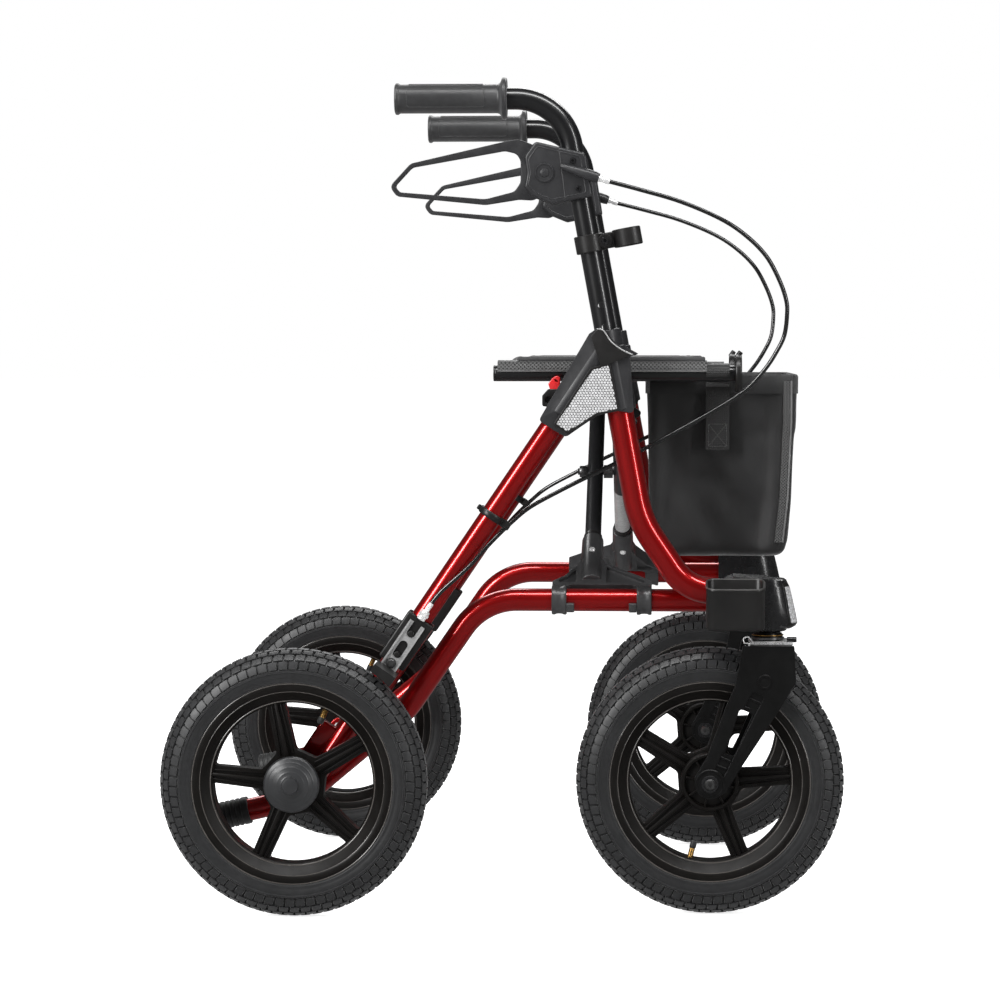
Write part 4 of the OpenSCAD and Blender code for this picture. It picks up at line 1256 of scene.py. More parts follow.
def build_brake():
    """Brake on the rear leg: body, cable fittings, slotted plate and pad."""
    shell = block((0, -17, -15), (62, 17, 13), leg_frame(170))
    bore = rod(on_rear_leg(100), on_rear_leg(300), REAR_LEG_D / 2 + FIT, 0.1, 48)
    parts = [solid(shell, 2.2, cut=[bore], segments=3)]
    for s in (183, 211):
        stud = rod(leg_frame(s) @ Vector((0, 0, 10)), leg_frame(s) @ Vector((0, 0, 18.4)), 3.6, 0.8, 24)
        parts.append(stud)
    pair("brake_shell", joined(parts), "frame", PLASTIC_DARK, ["brake_body"])

    way = (on_rear_leg(254) - on_rear_leg(242)).normalized()
    thread = [(0, 0)] + [(3.2 - 0.3 * (k % 2), 0.55 * k) for k in range(20)] + [(0, 11)]
    fittings = [
        rod(on_rear_leg(231, -283), on_rear_leg(243, -283), 5, 0.8, 24),
        turned(thread, on_rear_leg(243, -283), way, 24),
        turned([(0, 0), (6, 0), (6, 3.4), (0, 3.4)], on_rear_leg(236, -283), way, 6),
    ]
    pair("brake_fittings", joined(fittings), "frame", ZINC)

    # Channel with two round-ended slots, the upper one open at the top
    plate_frame = leg_frame(165)
    channel = [block((0, -10, 13.1), (60, 10, 15.5), plate_frame)]
    channel += [block((0, y, 13.1), (60, y + 1.8, 18.6), plate_frame) for y in (-10, 8.2)]
    slots = []
    for low, high in ((14, 36), (42, 80)):
        slot = stack([(stadium((low, -5), (high, 5), 4.9), 8), (stadium((low, -5), (high, 5), 4.9), 24)])
        slot.transform(plate_frame)
        slots.append(slot)
    obj = solid(channel[0], 0.4, cut=slots, add=channel[1:], segments=2)
    pair("brake_plate", obj, "brake_shoe", ALLOY, ["brake_shoe"])
    place = leg_frame(171) @ Vector((0, 0, 15.4))
    bolt = [(0, 0), (6, 0), (6, 0.9), (4.4, 1), (4.4, 3.4), (3.8, 4), (0, 4)]
    pair("brake_plate_bolt", turned(bolt, place, (0, -1, 0), 24), "brake_shoe", STEEL_DARK)
    pad_frame = leg_frame(140)
    web = block((0, -14, 13.1), (25.5, 14, 25), pad_frame)
    bar = block((6, -14, 20), (25.5, 14, 62.8), pad_frame)
    tyre_gap = lathe([(0, -45), (155.6, -45), (155.6, 45), (0, 45)], REAR_AXLE, 128)
    obj = solid(web, add=[bar])
    combine(obj, [tyre_gap], "DIFFERENCE")
    soften(obj, 1.5, 3, 40)
    pair("brake_pad", obj, "brake_shoe", PLASTIC_DARK)


def build_cable_clips():
    """Clip that holds the cable to the rear leg."""
    place = leg_frame(368)
    profile = [(12.6, 2), (14.8, 2), (15.6, 3.2), (15.6, 8.8), (14.8, 10), (12.6, 10)]
    ring = turned(profile, place @ Vector((0, 0, 0)), place.to_3x3() @ Vector((1, 0, 0)), 48)
    holder = block((1.5, -25, -4.5), (10.5, -14, 5), place)
    notch = block((-1, -30, -2.5), (13, -17, 2.8), place)
    lug = block((3, 13.5, -3.5), (9, 19, 3.5), place)
    parts = [ring, solid(lug, 1.4, segments=2)]
    parts.append(solid(holder, 1.4, cut=[notch], segments=2))
    pair("cable_clip", joined(parts), "frame", PLASTIC_DARK, ["cable_clip"])


# ---- Stick holder ----


def stadium(low, high, r, steps=8):
    """Rounded rectangle in plan."""
    centres = (
        (low[0] + r, low[1] + r, 180), (high[0] - r, low[1] + r, 270),
        (high[0] - r, high[1] - r, 0), (low[0] + r, high[1] - r, 90),
    )
    points = []
    for cx, cy, start in centres:
        for a in ramp(math.radians(start), math.radians(start + 90), steps):
            points.append((cx + r * math.cos(a), cy + r * math.sin(a)))
    return points


def stack(sections, loop=False):
    """Solid through matching outlines, each (outline in XY, height or heights)."""
    rings = []
    for outline, z in sections:
        heights = z if isinstance(z, list) else [z] * len(outline)
        rings.append([(x, y, h) for (x, y), h in zip(outline, heights)])
    return loft(rings, loop)


def build_cup():
    """Cup for the foot of a walking stick, with a slanted rim and a lighter bead round it that paints a
    highlight on the rim.
    """
    low, high, bottom, top = (230, -335), (297, -290), 327, 384

    def rim(outline, drop=0.0):
        return [top - drop - (-290 - y) * math.tan(math.radians(12)) for _, y in outline]

    def shell(inset, r):
        return stadium((low[0] + inset, low[1] + inset), (high[0] - inset, high[1] - inset), r)

    outer, lip, inner = shell(0.6, 11), shell(0, 11.4), shell(2.6, 9)
    floor_ring = shell(5, 8)
    sections = [
        (shell(6, 8), bottom), (shell(2.6, 10), bottom + 0.8), (shell(1.2, 10.6), bottom + 2.4),
        (outer, bottom + 5), (outer, rim(outer, 4.2)), (lip, rim(lip, 3.2)), (lip, rim(lip, 1.2)),
        (shell(0.8, 11), rim(shell(0.8, 11), 0.2)), (shell(1.8, 10), rim(shell(1.8, 10), 0.2)),
        (inner, rim(inner, 1.4)), (inner, bottom + 7), (floor_ring, bottom + 3),
    ]
    one("stick_cup_shell", stack(sections), "right_frame", PLASTIC_DARK, ["stick_cup"])
    # Bead round the rim in a lighter grey: a painted highlight
    bead = []
    for inset, r, drop in ((-0.1, 11.4, 0.9), (0.5, 11, -0.1), (1.9, 10, -0.1), (2.5, 9.4, 0.9)):
        outline = resampled(shell(inset, r), 72)
        bead.append((outline, rim(outline, drop)))
    one("stick_cup_highlight_bead", stack(bead, loop=True), "right_frame", CUP_HIGHLIGHT_PAINT)
    lug = block((262, -291.5, 338), (288, -288.6, 366))
    one("stick_cup_lug", solid(lug, 0.8), "right_frame", PLASTIC_DARK)


def build_stick_clip():
    """Spring clip for a walking stick's shaft."""
    centre = on_lean(762)
    place = Matrix.Translation(centre) @ Matrix.Rotation(-LEAN, 4, "Y")

    def put(bm):
        bm.transform(place)
        return bm

    def ring(x, outer, inner):
        half = [(inner, -10), (outer - 0.8, -10), (outer, -9.2)]
        return lathe(both_ends(half), (x, 0, 0), 56, "Z")

    band = ring(0, 16.6, 12.6)
    hook = as_object(put(ring(45, 18, 15)))
    mouth = put(block((47, -10, -12), (90, 10, 12)))
    combine(hook, [mouth], "DIFFERENCE")
    soften(hook, 0.9, 2, 50)
    arm = solid(put(block((14, -5, -9), (30, 5, 9))), 1.5)
    boss = turned([(0, 0), (8, 0), (8, 8), (7, 9), (0, 9)], place @ Vector((18, -4, 0)), (0, -1, 0), 36)
    obj = joined([put(band), hook, arm, boss])
    one("stick_clip_body", obj, "right_handle", PLASTIC_DARK, ["stick_clip"])
    head = screw(place @ Vector((18, -13, 0)), (0, -1, 0), 4.6)
    one("stick_clip_screw", head, "right_handle", HOUSING_BLACK)


# ---- Brace, rails, latch ----


def arm_rod(place, low, high, radius, edge):
    """Round bar along a brace arm, between two distances from its lower tube."""
    return rod(place @ Vector((0, low, 0)), place @ Vector((0, high, 0)), radius, edge, 40)


def foot_ring(place, low, high):
    """Ring that turns on the lower tube, with a tab below it."""
    middle = (low + high) / 2
    profile = [
        (13.1, low), (16.2, low), (17, low + 0.9), (17, low + 3.2), (16, low + 5.4), (15.8, middle),
        (16, high - 5.4), (17, high - 3.2), (17, high - 0.9), (16.2, high), (13.1, high),
    ]
    ring = lathe(profile, steps=56, axis="X")
    ring.transform(place)
    inner_side = high if low < 0 else low - 9
    tab = block((inner_side, -17.5, -6), (inner_side + 9, -13.6, 6), place)
    return [ring, solid(tab, 1.2, segments=2)]


def foot_yoke(place):
    """Web that joins the rings to the socket of the brace's tube, with pockets beside the socket."""
    outline = [
        (-44.6, 14.5), (-29, 14.5), (-23.5, 19.5), (48.5, 19.5), (54, 14.5), (69.9, 14.5), (69.9, 27),
        (54, 39), (16, 64), (12.5, 74), (-12.5, 74), (-16, 62), (-30, 39), (-44.6, 27),
    ]
    web = rounded(outline, [2, 2, 6, 6, 2, 2, 4, 6, 4, 3, 3, 4, 6, 4])
    layers = [(web, -8, 8)]
    for pocket in (
        [(-35, 24), (-17.5, 24), (-17.5, 53), (-26.5, 38), (-38, 28.5)],
        [(17.5, 24), (60, 24), (62, 27.5), (51, 35.5), (17.5, 57.5)],
    ):
        shape = rounded(pocket, 2)
        layers += [(shape, -20, -4.2), (shape, 4.2, 20)]
    yoke, *pockets = (stack([(shape, low), (shape, high)]) for shape, low, high in layers)
    for part in (yoke, *pockets):
        part.transform(place)
    body = solid(yoke, 1.4, cut=pockets, add=[arm_rod(place, 30, 122, (14, 12.6), 1.2)])
    bore = rod(place @ Vector((-70, 0, 0)), place @ Vector((90, 0, 0)), LOWER_D / 2 + FIT, 0.1, 48)
    return combine(body, (bore, arm_rod(place, 40, 160, BRACE_D / 2 + FIT, 0.1)), "DIFFERENCE")


def build_brace():
    """Crossed seat brace: tubes, feet on the lower tubes, collars and pivot bolt."""
    for arm, rail in ((1, RAIL_Y), (2, -RAIL_Y)):
        place = brace_frame(arm)
        body = f"brace_{arm}"
        rail_bar = rod((-20, rail, RAIL_Z), (280, rail, RAIL_Z), RAIL_D / 2, 0.1, 40)
        pivot = rod((60, 0, PIVOT_Z), (170, 0, PIVOT_Z), 4.1, 0.1, 24)
        tube = solid(arm_rod(place, 40, BRACE_LENGTH, BRACE_D / 2, 0.4), cut=[rail_bar, pivot])
        one(f"brace_arm_{arm}", tube, body, BRACE_BLACK, [f"brace_tube_{arm}"])

        if arm == 2:
            # Bright lower length of this arm
            bright = arm_rod(place, 131, 230, BRACE_D / 2 + 0.12, 0.1)
            core = arm_rod(place, 40, BRACE_LENGTH, BRACE_D / 2 - 0.6, 0.1)
            one("brace_arm_bright", solid(bright, cut=[core]), body, ALLOY)

        parts = foot_ring(place, -44.6, -27.6) + foot_ring(place, 52.8, 69.9) + [foot_yoke(place)]
        nodes = [f"brace_bracket_{arm}"]
        one(f"brace_foot_{arm}", joined(parts), body, BRACE_PLASTIC, nodes)
        for turn, label in ((1, "a"), (-1, "b")):
            out = place.to_3x3() @ Vector((0, 0, turn))
            head = screw(place @ Vector((0, 84, 12.6 * turn)), out, 3.6)
            one(f"brace_screw_{arm}{label}", head, body, ZINC)
        collar = arm_rod(place, 122.5, 131, BRACE_D / 2 + 1.4, 0.8)
        hole = arm_rod(place, 40, BRACE_LENGTH, BRACE_D / 2 + 0.05, 0.1)
        one(f"brace_collar_{arm}", solid(collar, cut=[hole]), body, PLASTIC_DARK)

    # Pivot bolt: head, spacer between the arms, and lock nut
    bolt = [
        (0, 78), (4, 78), (4, 80), (6.4, 80), (7, 80.8), (7, 88), (6.4, 89), (4, 89), (4, 109.4), (8, 109.4),
        (8, 120.3), (4, 120.3), (4, 140.7), (6.6, 140.7), (7, 141.4), (7, 147.6), (6.4, 148.5), (4, 148.5),
        (4, 153), (3.4, 154), (0, 154),
    ]
    bolt = lathe(bolt, (0, 0, PIVOT_Z), 36, "X")
    one("brace_pivot_bolt", bolt, "brace_1", STEEL_DARK, ["pivot_bolt"])


def build_rails():
    """Seat rails with their end discs and plugs."""
    for body, side, y in (("brace_1", "left", RAIL_Y), ("brace_2", "right", -RAIL_Y)):
        bar = rod((-12, y, RAIL_Z), (265, y, RAIL_Z), RAIL_D / 2, 1, 48)
        one(f"seat_rail_{side}", bar, body, GLOSS_BLACK, [f"{side}_seat_rail"])
        profile = [
            (0, 264.5), (20, 264.5), (21.4, 265), (22, 266), (22, 270.5), (21, 272), (12, 272), (11, 271),
            (0, 271),
        ]
        disc = lathe(profile, (0, y, RAIL_Z), 64, "X")
        nub = rod((266, y, RAIL_Z + 18), (271, y, RAIL_Z + 25), 3, 0.8, 20)
        obj = joined([disc, nub])
        one(f"rail_end_disc_{side}", obj, body, PLASTIC_DARK)
        plug = [(0, 0), (8.9, 0), (9.2, 0.6), (9.2, 2.2), (0, 2.2)]
        plug = turned(plug, (-14, y, RAIL_Z), (1, 0, 0), 40)
        one(f"rail_plug_{side}", plug, body, PLASTIC_DARK)


def build_latch():
    """Red latch that keeps the walker from folding."""
    outline = [(44, 578), (52, 577), (62, 590), (64, 606), (56, 611), (50, 603), (53, 594), (44, 588)]
    hook = prism(rounded(outline, 2.5), LEG_Y + 29, LEG_Y + 37)
    holes = [rod((51, LEG_Y + 20, 584), (51, LEG_Y + 50, 584), 4.1, 0.1, 24) for _ in range(2)]
    handle = rod((60, LEG_Y + 29, 608), (60, LEG_Y + 43, 608), 4, 1.2, 24)
    obj = joined([solid(hook, 1.4, cut=holes[:1]), handle])
    one("fold_latch_hook", obj, "fold_latch", LATCH_RED, ["fold_latch"])
    sleeve = rounded([(43.2, 577.3), (52.5, 576.2), (63, 590), (62, 597), (50, 597), (43.2, 589.5)], 3)
    sleeve = solid(prism(sleeve, LEG_Y + 28.2, LEG_Y + 37.8), 1.2, cut=holes[1:])
    one("fold_latch_sleeve", sleeve, "fold_latch", PLASTIC_DARK)
    head = screw((51, LEG_Y + 36.9, 584), (0, 1, 0), 6)
    one("fold_latch_bolt", head, "right_frame", HOUSING_BLACK)


# ---- Seat ----

SEAT_X = (-4, 232)
SEAT_Z = RAIL_Z + RAIL_D / 2
# Sewn channels across the seat: how far from its ends, and how deep
CHANNEL_INSET = 26
CHANNEL_DEPTH = 1.6


def settle(obj, frames, pinned, pressure=0.0, gravity=0.0, cap=8.0, bending=8.0, tension=25.0):
    """Runs cloth on a mesh in millimetres, holds how far a point may go, and keeps the result."""
    rest = [v.co.copy() for v in obj.data.vertices]
    obj.data.transform(Matrix.Scale(MM, 4))
    group = obj.vertex_groups.new(name="pinned")
    for i, weight in pinned:
        group.add([i], weight, "REPLACE")
    cloth = obj.modifiers.new("cloth", "CLOTH")
    settings = cloth.settings
    settings.quality = 6
    settings.mass = 0.25
    settings.tension_stiffness = tension
    settings.compression_stiffness = tension
    settings.bending_stiffness = bending
    settings.use_pressure = pressure > 0
    settings.uniform_pressure_force = pressure
    settings.effector_weights.gravity = gravity
    settings.vertex_group_mass = "pinned"
    cloth.point_cache.frame_start = 1
    cloth.point_cache.frame_end = frames
    scene = bpy.context.scene
    for step in range(1, frames + 1):
        scene.frame_set(step)
    bake(obj)
    scene.frame_set(1)
    obj.vertex_groups.clear()
    for v, start in zip(obj.data.vertices, rest):
        moved = v.co / MM - start
        if moved.length > cap:
            moved = moved.normalized() * cap
        v.co = start + moved
    return obj


def relax(obj, iterations):
    """Evens out a fabric's mesh and divides it once more."""
    smooth = obj.modifiers.new("smooth", "SMOOTH")
    smooth.iterations = iterations
    subdivide = obj.modifiers.new("subdivide", "SUBSURF")
    subdivide.levels = 1


def build_seat():
    """Padded seat between the rails, with a hem, a piped edge and a sewn strip along each rail."""
    low, high = SEAT_X
    width = RAIL_Y + 8
    pad = block((low + 5, -width + 4, SEAT_Z + 1), (high - 5, width - 4, SEAT_Z + 7))
    obj = solid(pad, 2.5)
    remesh = obj.modifiers.new("remesh", "REMESH")
    remesh.mode = "VOXEL"
    remesh.voxel_size = 5.0
    bake(obj)
    held = [(v.index, 1.0) for v in obj.data.vertices if v.co.z < SEAT_Z + 1.6]
    settle(obj, 20, held, pressure=4.0, cap=4.5)
    relax(obj, 6)
    bake(obj)
    for v in obj.data.vertices:
        top = v.co.z - SEAT_Z
        v.co.z = SEAT_Z + min(max(top, 0.4), 10.5)
        for line in (low + CHANNEL_INSET, high - CHANNEL_INSET):
            v.co.z -= CHANNEL_DEPTH * math.exp(-(((v.co.x - line) / 3.0) ** 2)) if top > 4 else 0
    dress(obj, None, SEAT_TOP, ["seat"])
    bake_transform(obj)
    obj.name = "seat_pad"

    # Hems that carry the seat on the rails: a coarse band over each rail, with a piped lower edge
    hem_low = low - 5
    for side, s, body in (("left", 1, "brace_1"), ("right", -1, "brace_2")):
        y, r = RAIL_Y * s, RAIL_D / 2
        arc = ramp(math.radians(16), math.radians(112), 16)
        outer, inner = [], []
        for a in arc:
            reach = r + 2.6 + 3.4 * min(1, math.degrees(a) / 70)
            outer.append((y + s * reach * math.cos(a), RAIL_Z + reach * math.sin(a)))
            inner.append((y + s * (r + 0.35) * math.cos(a), RAIL_Z + (r + 0.35) * math.sin(a)))
        rings = []
        for k, x in enumerate(ramp(hem_low, high, 59)):
            wave = 0.14 * math.sin(k * 1.7)
            rings.append([(x, py + s * wave, pz) for py, pz in outer + inner[::-1]])
        one(f"seat_hem_{side}", loft(rings), body, SEAT_FABRIC)
        # Piped lower edge, and a plain smooth strip sewn along the top
        a = math.radians(15)
        edge_y, edge_z = y + s * (r + 2.2) * math.cos(a), RAIL_Z + (r + 2.2) * math.sin(a)
        path = [(x, edge_y, edge_z) for x in ramp(hem_low, high, 30)]
        one(f"seat_piping_{side}", sweep(path, 1.1, 12), body, PIPING)
        near, far = sorted((y - 4 * s, y + 5.5 * s))
        strip = block((14, near, RAIL_Z + r + 4.2), (230, far, RAIL_Z + r + 10))
        one(f"seat_strip_{side}", solid(strip, 2.2), body, SEAT_TOP)


# ---- Bag ----

BAG_Y = 184
BAG_TOP = 612.0
BAG_BOTTOM = 402.5
# Heights where the front wall starts to lean back, and where it leans more
BAG_LEAN_FROM = 560
BAG_TAPER_FROM = 470
HEM_H = 21
STRAP_X = (231, 258)
STRAP_END = 526


def bag_front(z):
    """Where the bag's front wall is at a height: upright, then drawn in towards the floor."""
    if z > BAG_LEAN_FROM:
        return 337.5
    if z > BAG_TAPER_FROM:
        return 333.5 + 4 * (z - BAG_TAPER_FROM) / (BAG_LEAN_FROM - BAG_TAPER_FROM)
    return 326 + 7.5 * (z - BAG_BOTTOM) / (BAG_TAPER_FROM - BAG_BOTTOM)


def bag_back(z):
    """Where the bag's rear wall is at a height."""
    return 161.5 + 2 * (BAG_TOP - z) / (BAG_TOP - BAG_BOTTOM)


def build_bag():
    """Open-topped shell: rings of points from the rim down to the floor, sagged by cloth."""
    rows, floor_rows = 34, 12
    turn_in = 10

    def ring(z, inset, r):
        x0, x1 = bag_back(z) + inset, bag_front(z) - inset
        plan = stadium((x0, -BAG_Y + 2 + inset), (x1, BAG_Y - 2 - inset), max(r - inset * 0.5, 2), 6)
        return resampled(plan, 150)

    rings = []
    for z in ramp(BAG_TOP, BAG_BOTTOM + turn_in, rows):
        rings.append([(x, y, z) for x, y in ring(z, 0, 12)])
    for k in range(1, floor_rows + 1):
        share = k / floor_rows
        if share < 0.3:
            turn = math.pi / 2 * share / 0.3
            inset, z = turn_in * (1 - math.cos(turn)), BAG_BOTTOM + turn_in * (1 - math.sin(turn))
        else:
            inset, z = turn_in + 62 * (share - 0.3) / 0.7, BAG_BOTTOM
        rings.append([(x, y, z) for x, y in ring(z, inset, 12)])
    bm = loft(rings, ends=(False, True))
    bmesh.ops.triangulate(bm, faces=[f for f in bm.faces if len(f.verts) > 4])
    obj = as_object(bm)
    cut = [v.co.copy() for v in obj.data.vertices]
    for v in obj.data.vertices:
        p = v.co
        depth = min(1, (BAG_TOP - p.z) / 40)
        wrinkle = noise.noise(Vector((p.x * 0.018, p.y * 0.02, p.z * 0.011 + 3)))
        crease = noise.noise(Vector((p.x * 0.05 + p.z * 0.03, p.y * 0.03, p.z * 0.02)))
        amount = depth * (5.2 * wrinkle + 2.4 * crease)
        side = Vector((p.x - 250, p.y, 0))
        if abs(abs(p.y) - BAG_Y + 2) < 3:
            side = Vector((0, p.y, 0))
        v.co += side.normalized() * amount
    held = [(v.index, 1.0) for v in obj.data.vertices if v.co.z > BAG_TOP - 14]
    settle(obj, 24, held, pressure=0.35, gravity=1.0, cap=9.0, bending=3.0, tension=12.0)
    # The seams down the four corners hold the cloth where it was cut. Below the seat rails it may
    # stand a little further out than beside them
    for v, start in zip(obj.data.vertices, cut):
        if abs(start.y) > BAG_Y - 16:
            away = min(abs(start.x - bag_front(start.z) + 12), abs(start.x - bag_back(start.z)) + 8)
            v.co = v.co.lerp(start, min(1, max(0, (22 - away) / 10)))
        side = BAG_Y + (0.8 if v.co.z > 585 else 5.5)
        v.co.x = min(max(v.co.x, 161), 340.5)
        v.co.y = min(max(v.co.y, -side), side)
        v.co.z = min(max(v.co.z, 401.5), 620)
    relax(obj, 2)
    thick = obj.modifiers.new("thick", "SOLIDIFY")
    thick.thickness = 1.4
    thick.offset = -1
    bake(obj)
    dress(obj, None, BAG_FABRIC, ["bag"])
    obj.name = "bag_shell"
    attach(obj, "bag")
    trims = build_bag_trims()
    for trim in [obj] + trims:
        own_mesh(trim)


def build_bag_trims():
    """Hem, zips, piping and straps of the bag."""
    trims = []

    def add(name, shape, material):
        trims.append(one(name, shape, "bag", material))

    # Hem round the rim
    rear, fore = bag_back(BAG_TOP), bag_front(BAG_TOP)
    outline = stadium((rear - 0.6, -BAG_Y + 1.2), (fore + 0.8, BAG_Y - 1.2), 12, 6)
    inner = stadium((rear + 2, -BAG_Y + 4), (fore - 2, BAG_Y - 4), 10, 6)
    outline, inner = (resampled(dense(plan, 12), 90) for plan in (outline, inner))
    fold = [tuple(Vector(p).lerp(Vector(q), 0.5)) for p, q in zip(outline, inner)]
    hem = stack([
        (outline, BAG_TOP - HEM_H), (outline, BAG_TOP - 1), (fold, BAG_TOP + 1.2),
        (inner, BAG_TOP - 1), (inner, BAG_TOP - HEM_H),
    ], loop=True)
    add("bag_hem", hem, BAG_FABRIC)

    # Zip strip and piping down both front corners
    for s, side in ((-1, "right"), (1, "left")):
        y = s * BAG_Y
        path = []
        for z in ramp(BAG_TOP - 6, BAG_BOTTOM + 16, 24):
            path.append(Vector((bag_front(z) - 13, y - 3 * s, z)))
        strip = ribbon(path, Vector((1, 0, 0)), 8, Vector((0, s, 0)), 2.8)
        add(f"bag_zip_{side}", strip, MESH_TRIM)
        line = [p + Vector((5.4, 1.4 * s, 0)) for p in path]
        add(f"bag_piping_{side}", sweep(line, 1.2, 10), PIPING)

        # Strap: a loop over the rail and a tail down the bag's side
        x0, x1 = STRAP_X
        centre = Vector((0, s * RAIL_Y, RAIL_Z))
        r = RAIL_D / 2 + 1.6
        loop = []
        for a in ramp(math.radians(200), math.radians(-100), 24):
            loop.append(Vector((0, centre.y - s * r * math.cos(a), centre.z + r * math.sin(a))))
        tail = [Vector((0, s * (RAIL_Y - 6), RAIL_Z - 9)), Vector((0, s * (BAG_Y + 8), 600))]
        tail += [Vector((0, s * (BAG_Y + 6.4), z)) for z in ramp(596, STRAP_END, 19)]
        strap = band(loop, x0, x1, 1.6)
        strap_tail = band(tail, x0, x1, 1.8)
        rail = "brace_1" if s > 0 else "brace_2"
        one(f"bag_strap_loop_{side}", strap, rail, WEBBING)
        add(f"bag_strap_{side}", strap_tail, WEBBING)
        stitch = []
        y_face = s * (BAG_Y + 7.4)
        # Sewn box with a cross, just above the strap's end
        low, high = STRAP_END + 4, STRAP_END + 30
        corners = [(x0 + 3, low), (x1 - 3, low), (x1 - 3, high), (x0 + 3, high)]
        lines = list(zip(corners, corners[1:] + corners[:1]))
        lines += [(corners[0], corners[2]), (corners[1], corners[3])]
        for (ax, az), (bx, bz) in lines:
            count = int(math.hypot(bx - ax, bz - az) / 3)
            for k in range(count):
                t0, t1 = (k + 0.15) / count, (k + 0.85) / count
                a = (ax + (bx - ax) * t0, y_face, az + (bz - az) * t0)
                b = (ax + (bx - ax) * t1, y_face, az + (bz - az) * t1)
                stitch.append(rod(a, b, 0.4, 0.15, 6))
        add(f"bag_stitching_{side}", joined(stitch), THREAD)
    return trims


def resampled(points, count):
    """The same closed line with count points, starting at the same place."""
    points = [Vector(p) for p in points]
    lengths = [0]
    for a, b in zip(points, points[1:] + points[:1]):
        lengths.append(lengths[-1] + (b - a).length)
    result = []
    for k in range(count):
        target = lengths[-1] * k / count
        i = max(j for j in range(len(points)) if lengths[j] <= target + 1e-9)
        a, b = points[i], points[(i + 1) % len(points)]
        share = (target - lengths[i]) / max(lengths[i + 1] - lengths[i], 1e-9)
        result.append(tuple(a.lerp(b, share)))
    return result


def ribbon(path, across, width, out, thick):
    """Flat band centred on a path."""
    a, b = across * width / 2, out * thick
    return loft([[p - a, p + a, p + a * 0.9 + b, p - a * 0.9 + b] for p in path])


def band(path, x0, x1, thick):
    """Strap that follows a line in the YZ plane, thick across it."""
    rings = []
    last = len(path) - 1
    for i, p in enumerate(path):
        t = (path[min(i + 1, last)] - path[max(i - 1, 0)]).normalized()
        n = Vector((0, -t.z, t.y)) * thick / 2
        low, high = p - n, p + n
        rings.append([(x0, low.y, low.z), (x1, low.y, low.z), (x1, high.y, high.z), (x0, high.y, high.z)])
    return loft(rings)


# ---- Scene ----


FLOOR_SIZE = 60
FLOOR_GLOW = 0.78
FLOOR_IN_GLOSS = 0.16
# Strength of the white room as the camera sees it, in reflections, and as light
ROOM_SEEN = 1.0
ROOM_IN_GLOSS = 0.05
ROOM_LIGHT = 0.32
# Soft boxes: name, place, aim, size and power, in metres and watts
SOFT_BOXES = (
    ("top", (0.1, -1.2, 2.6), (0.05, 0, 0.4), (3.4, 0.45), 65),
    ("key", (-2.4, -2.6, 1.9), (0, 0, 0.45), (0.8, 2.0), 105),
    ("fill", (2.6, -2.4, 1.4), (0, 0, 0.4), (0.35, 2.2), 34),
    ("rim", (0, 2.2, 2.6), (0, 0, 0.5), (3.0, 0.8), 50),
)
CAMERA_PLACE = (0.1897, -4.110, 0.647)
CAMERA_YAW = math.radians(2.88)
CAMERA_PITCH = math.radians(2.62)


def rays_mix(tree, plain, glossy, target):
    """Uses one shader for reflections and another for everything else."""
    rays = tree.nodes.new("ShaderNodeLightPath")
    mix = tree.nodes.new("ShaderNodeMixShader")
    tree.links.new(rays.outputs["Is Glossy Ray"], mix.inputs["Fac"])
    tree.links.new(plain, mix.inputs[1])
    tree.links.new(glossy, mix.inputs[2])
    tree.links.new(mix.outputs[0], target)
    return rays, mix


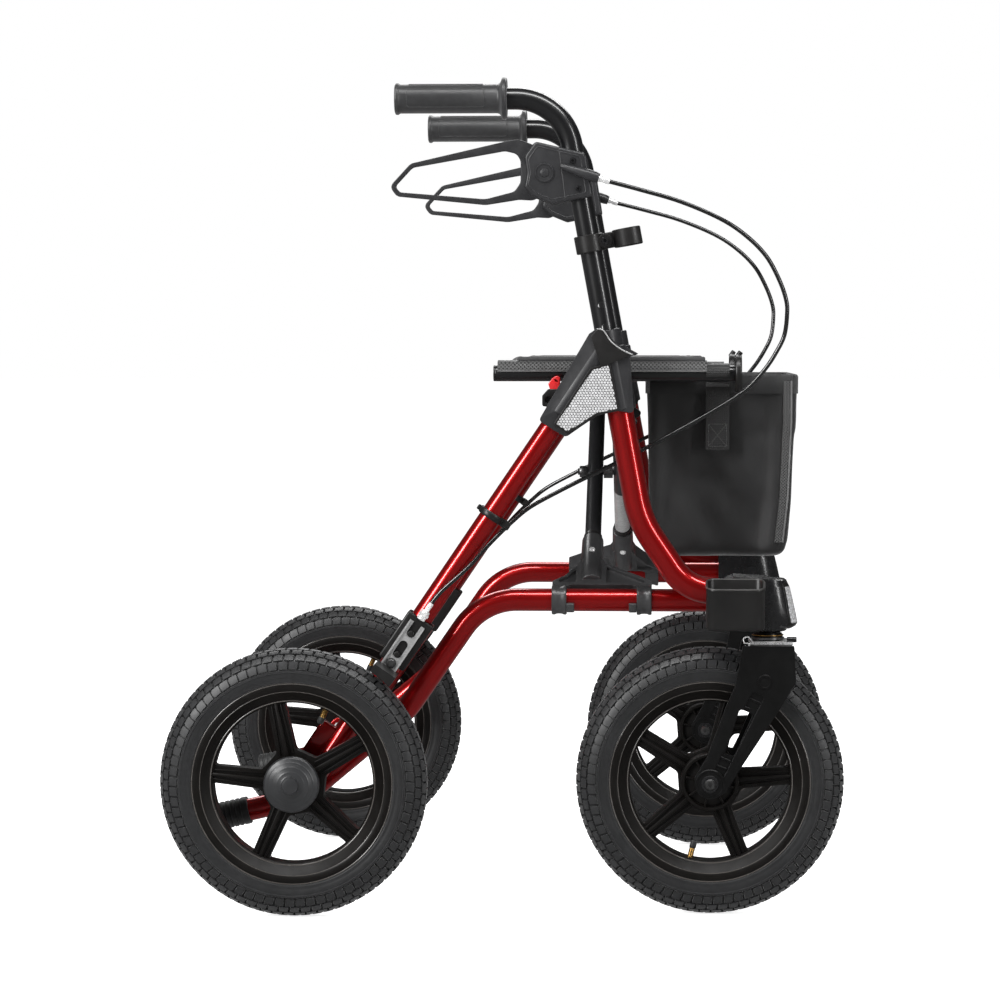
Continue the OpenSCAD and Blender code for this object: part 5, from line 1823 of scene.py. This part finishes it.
def build_stage():
    """Plain pale floor that glows a little, so that it is as white as the sky behind it."""
    size = FLOOR_SIZE
    corners = [(-size, -size, 0), (size, -size, 0), (size, size, 0), (-size, size, 0)]
    mesh = bpy.data.meshes.new("floor")
    mesh.from_pydata(corners, [], [(0, 1, 2, 3)])
    floor = link_object("floor", mesh)
    n = Nodes("floor_white", Roughness=0.9, Specular_IOR_Level=0.0, Emission_Strength=FLOOR_GLOW)
    n.shader.inputs["Emission Color"].default_value = (1, 1, 1, 1)
    n.colour(n.noise(400, 3), grey(0.90), grey(0.93))
    seen_in_gloss = n.add("ShaderNodeEmission")
    seen_in_gloss.inputs["Strength"].default_value = FLOOR_IN_GLOSS
    output = n.tree.nodes["Material Output"].inputs["Surface"]
    rays_mix(n.tree, n.shader.outputs[0], seen_in_gloss.outputs[0], output)
    mesh.materials.append(n.material)
    floor.location.z = -0.0005


def area_light(name, place, target, size, power):
    """Soft box that faces its target."""
    data = bpy.data.lights.new(name, "AREA")
    data.shape = "RECTANGLE"
    data.size, data.size_y = size
    data.energy = power
    obj = link_object(name, data)
    obj.location = place
    obj.rotation_euler = (Vector(target) - Vector(place)).to_track_quat("-Z", "Y").to_euler()


def build_light():
    """White room, dim in reflections, with soft boxes that draw the highlights."""
    world = bpy.data.worlds.new("studio")
    bpy.context.scene.world = world
    world.use_nodes = True
    tree = world.node_tree
    tree.nodes.remove(tree.nodes["Background"])

    def background(strength):
        node = tree.nodes.new("ShaderNodeBackground")
        node.inputs["Color"].default_value = (1, 1, 1, 1)
        node.inputs["Strength"].default_value = strength
        return node.outputs[0]

    output = tree.nodes["World Output"].inputs["Surface"]
    rays, mix = rays_mix(tree, background(ROOM_LIGHT), background(ROOM_IN_GLOSS), output)
    seen = tree.nodes.new("ShaderNodeMixShader")
    tree.links.new(rays.outputs["Is Camera Ray"], seen.inputs["Fac"])
    tree.links.new(mix.outputs[0], seen.inputs[1])
    tree.links.new(background(ROOM_SEEN), seen.inputs[2])
    tree.links.new(seen.outputs[0], output)
    for soft_box in SOFT_BOXES:
        area_light(*soft_box)


def build_camera():
    """Long lens, a little above the walker's middle, turned and tipped slightly."""
    data = bpy.data.cameras.new("camera")
    data.lens = 121.7
    data.sensor_width = 36
    data.clip_end = 200
    camera = link_object("camera", data)
    camera.location = CAMERA_PLACE
    camera.rotation_euler = (math.pi / 2 - CAMERA_PITCH, 0, CAMERA_YAW)
    bpy.context.scene.camera = camera


build_wheels()
build_hubs()
build_tubes()
build_tip_sleeve()
build_caster_housing()
build_fork()
build_junction()
build_handle()
build_lever()
build_cables()
build_knob()
build_brake()
build_cable_clips()
build_cup()
build_stick_clip()
build_brace()
build_rails()
build_latch()
build_seat()
build_bag()
build_stage()
build_light()
build_camera()
bpy.context.scene.view_settings.view_transform = "Standard"
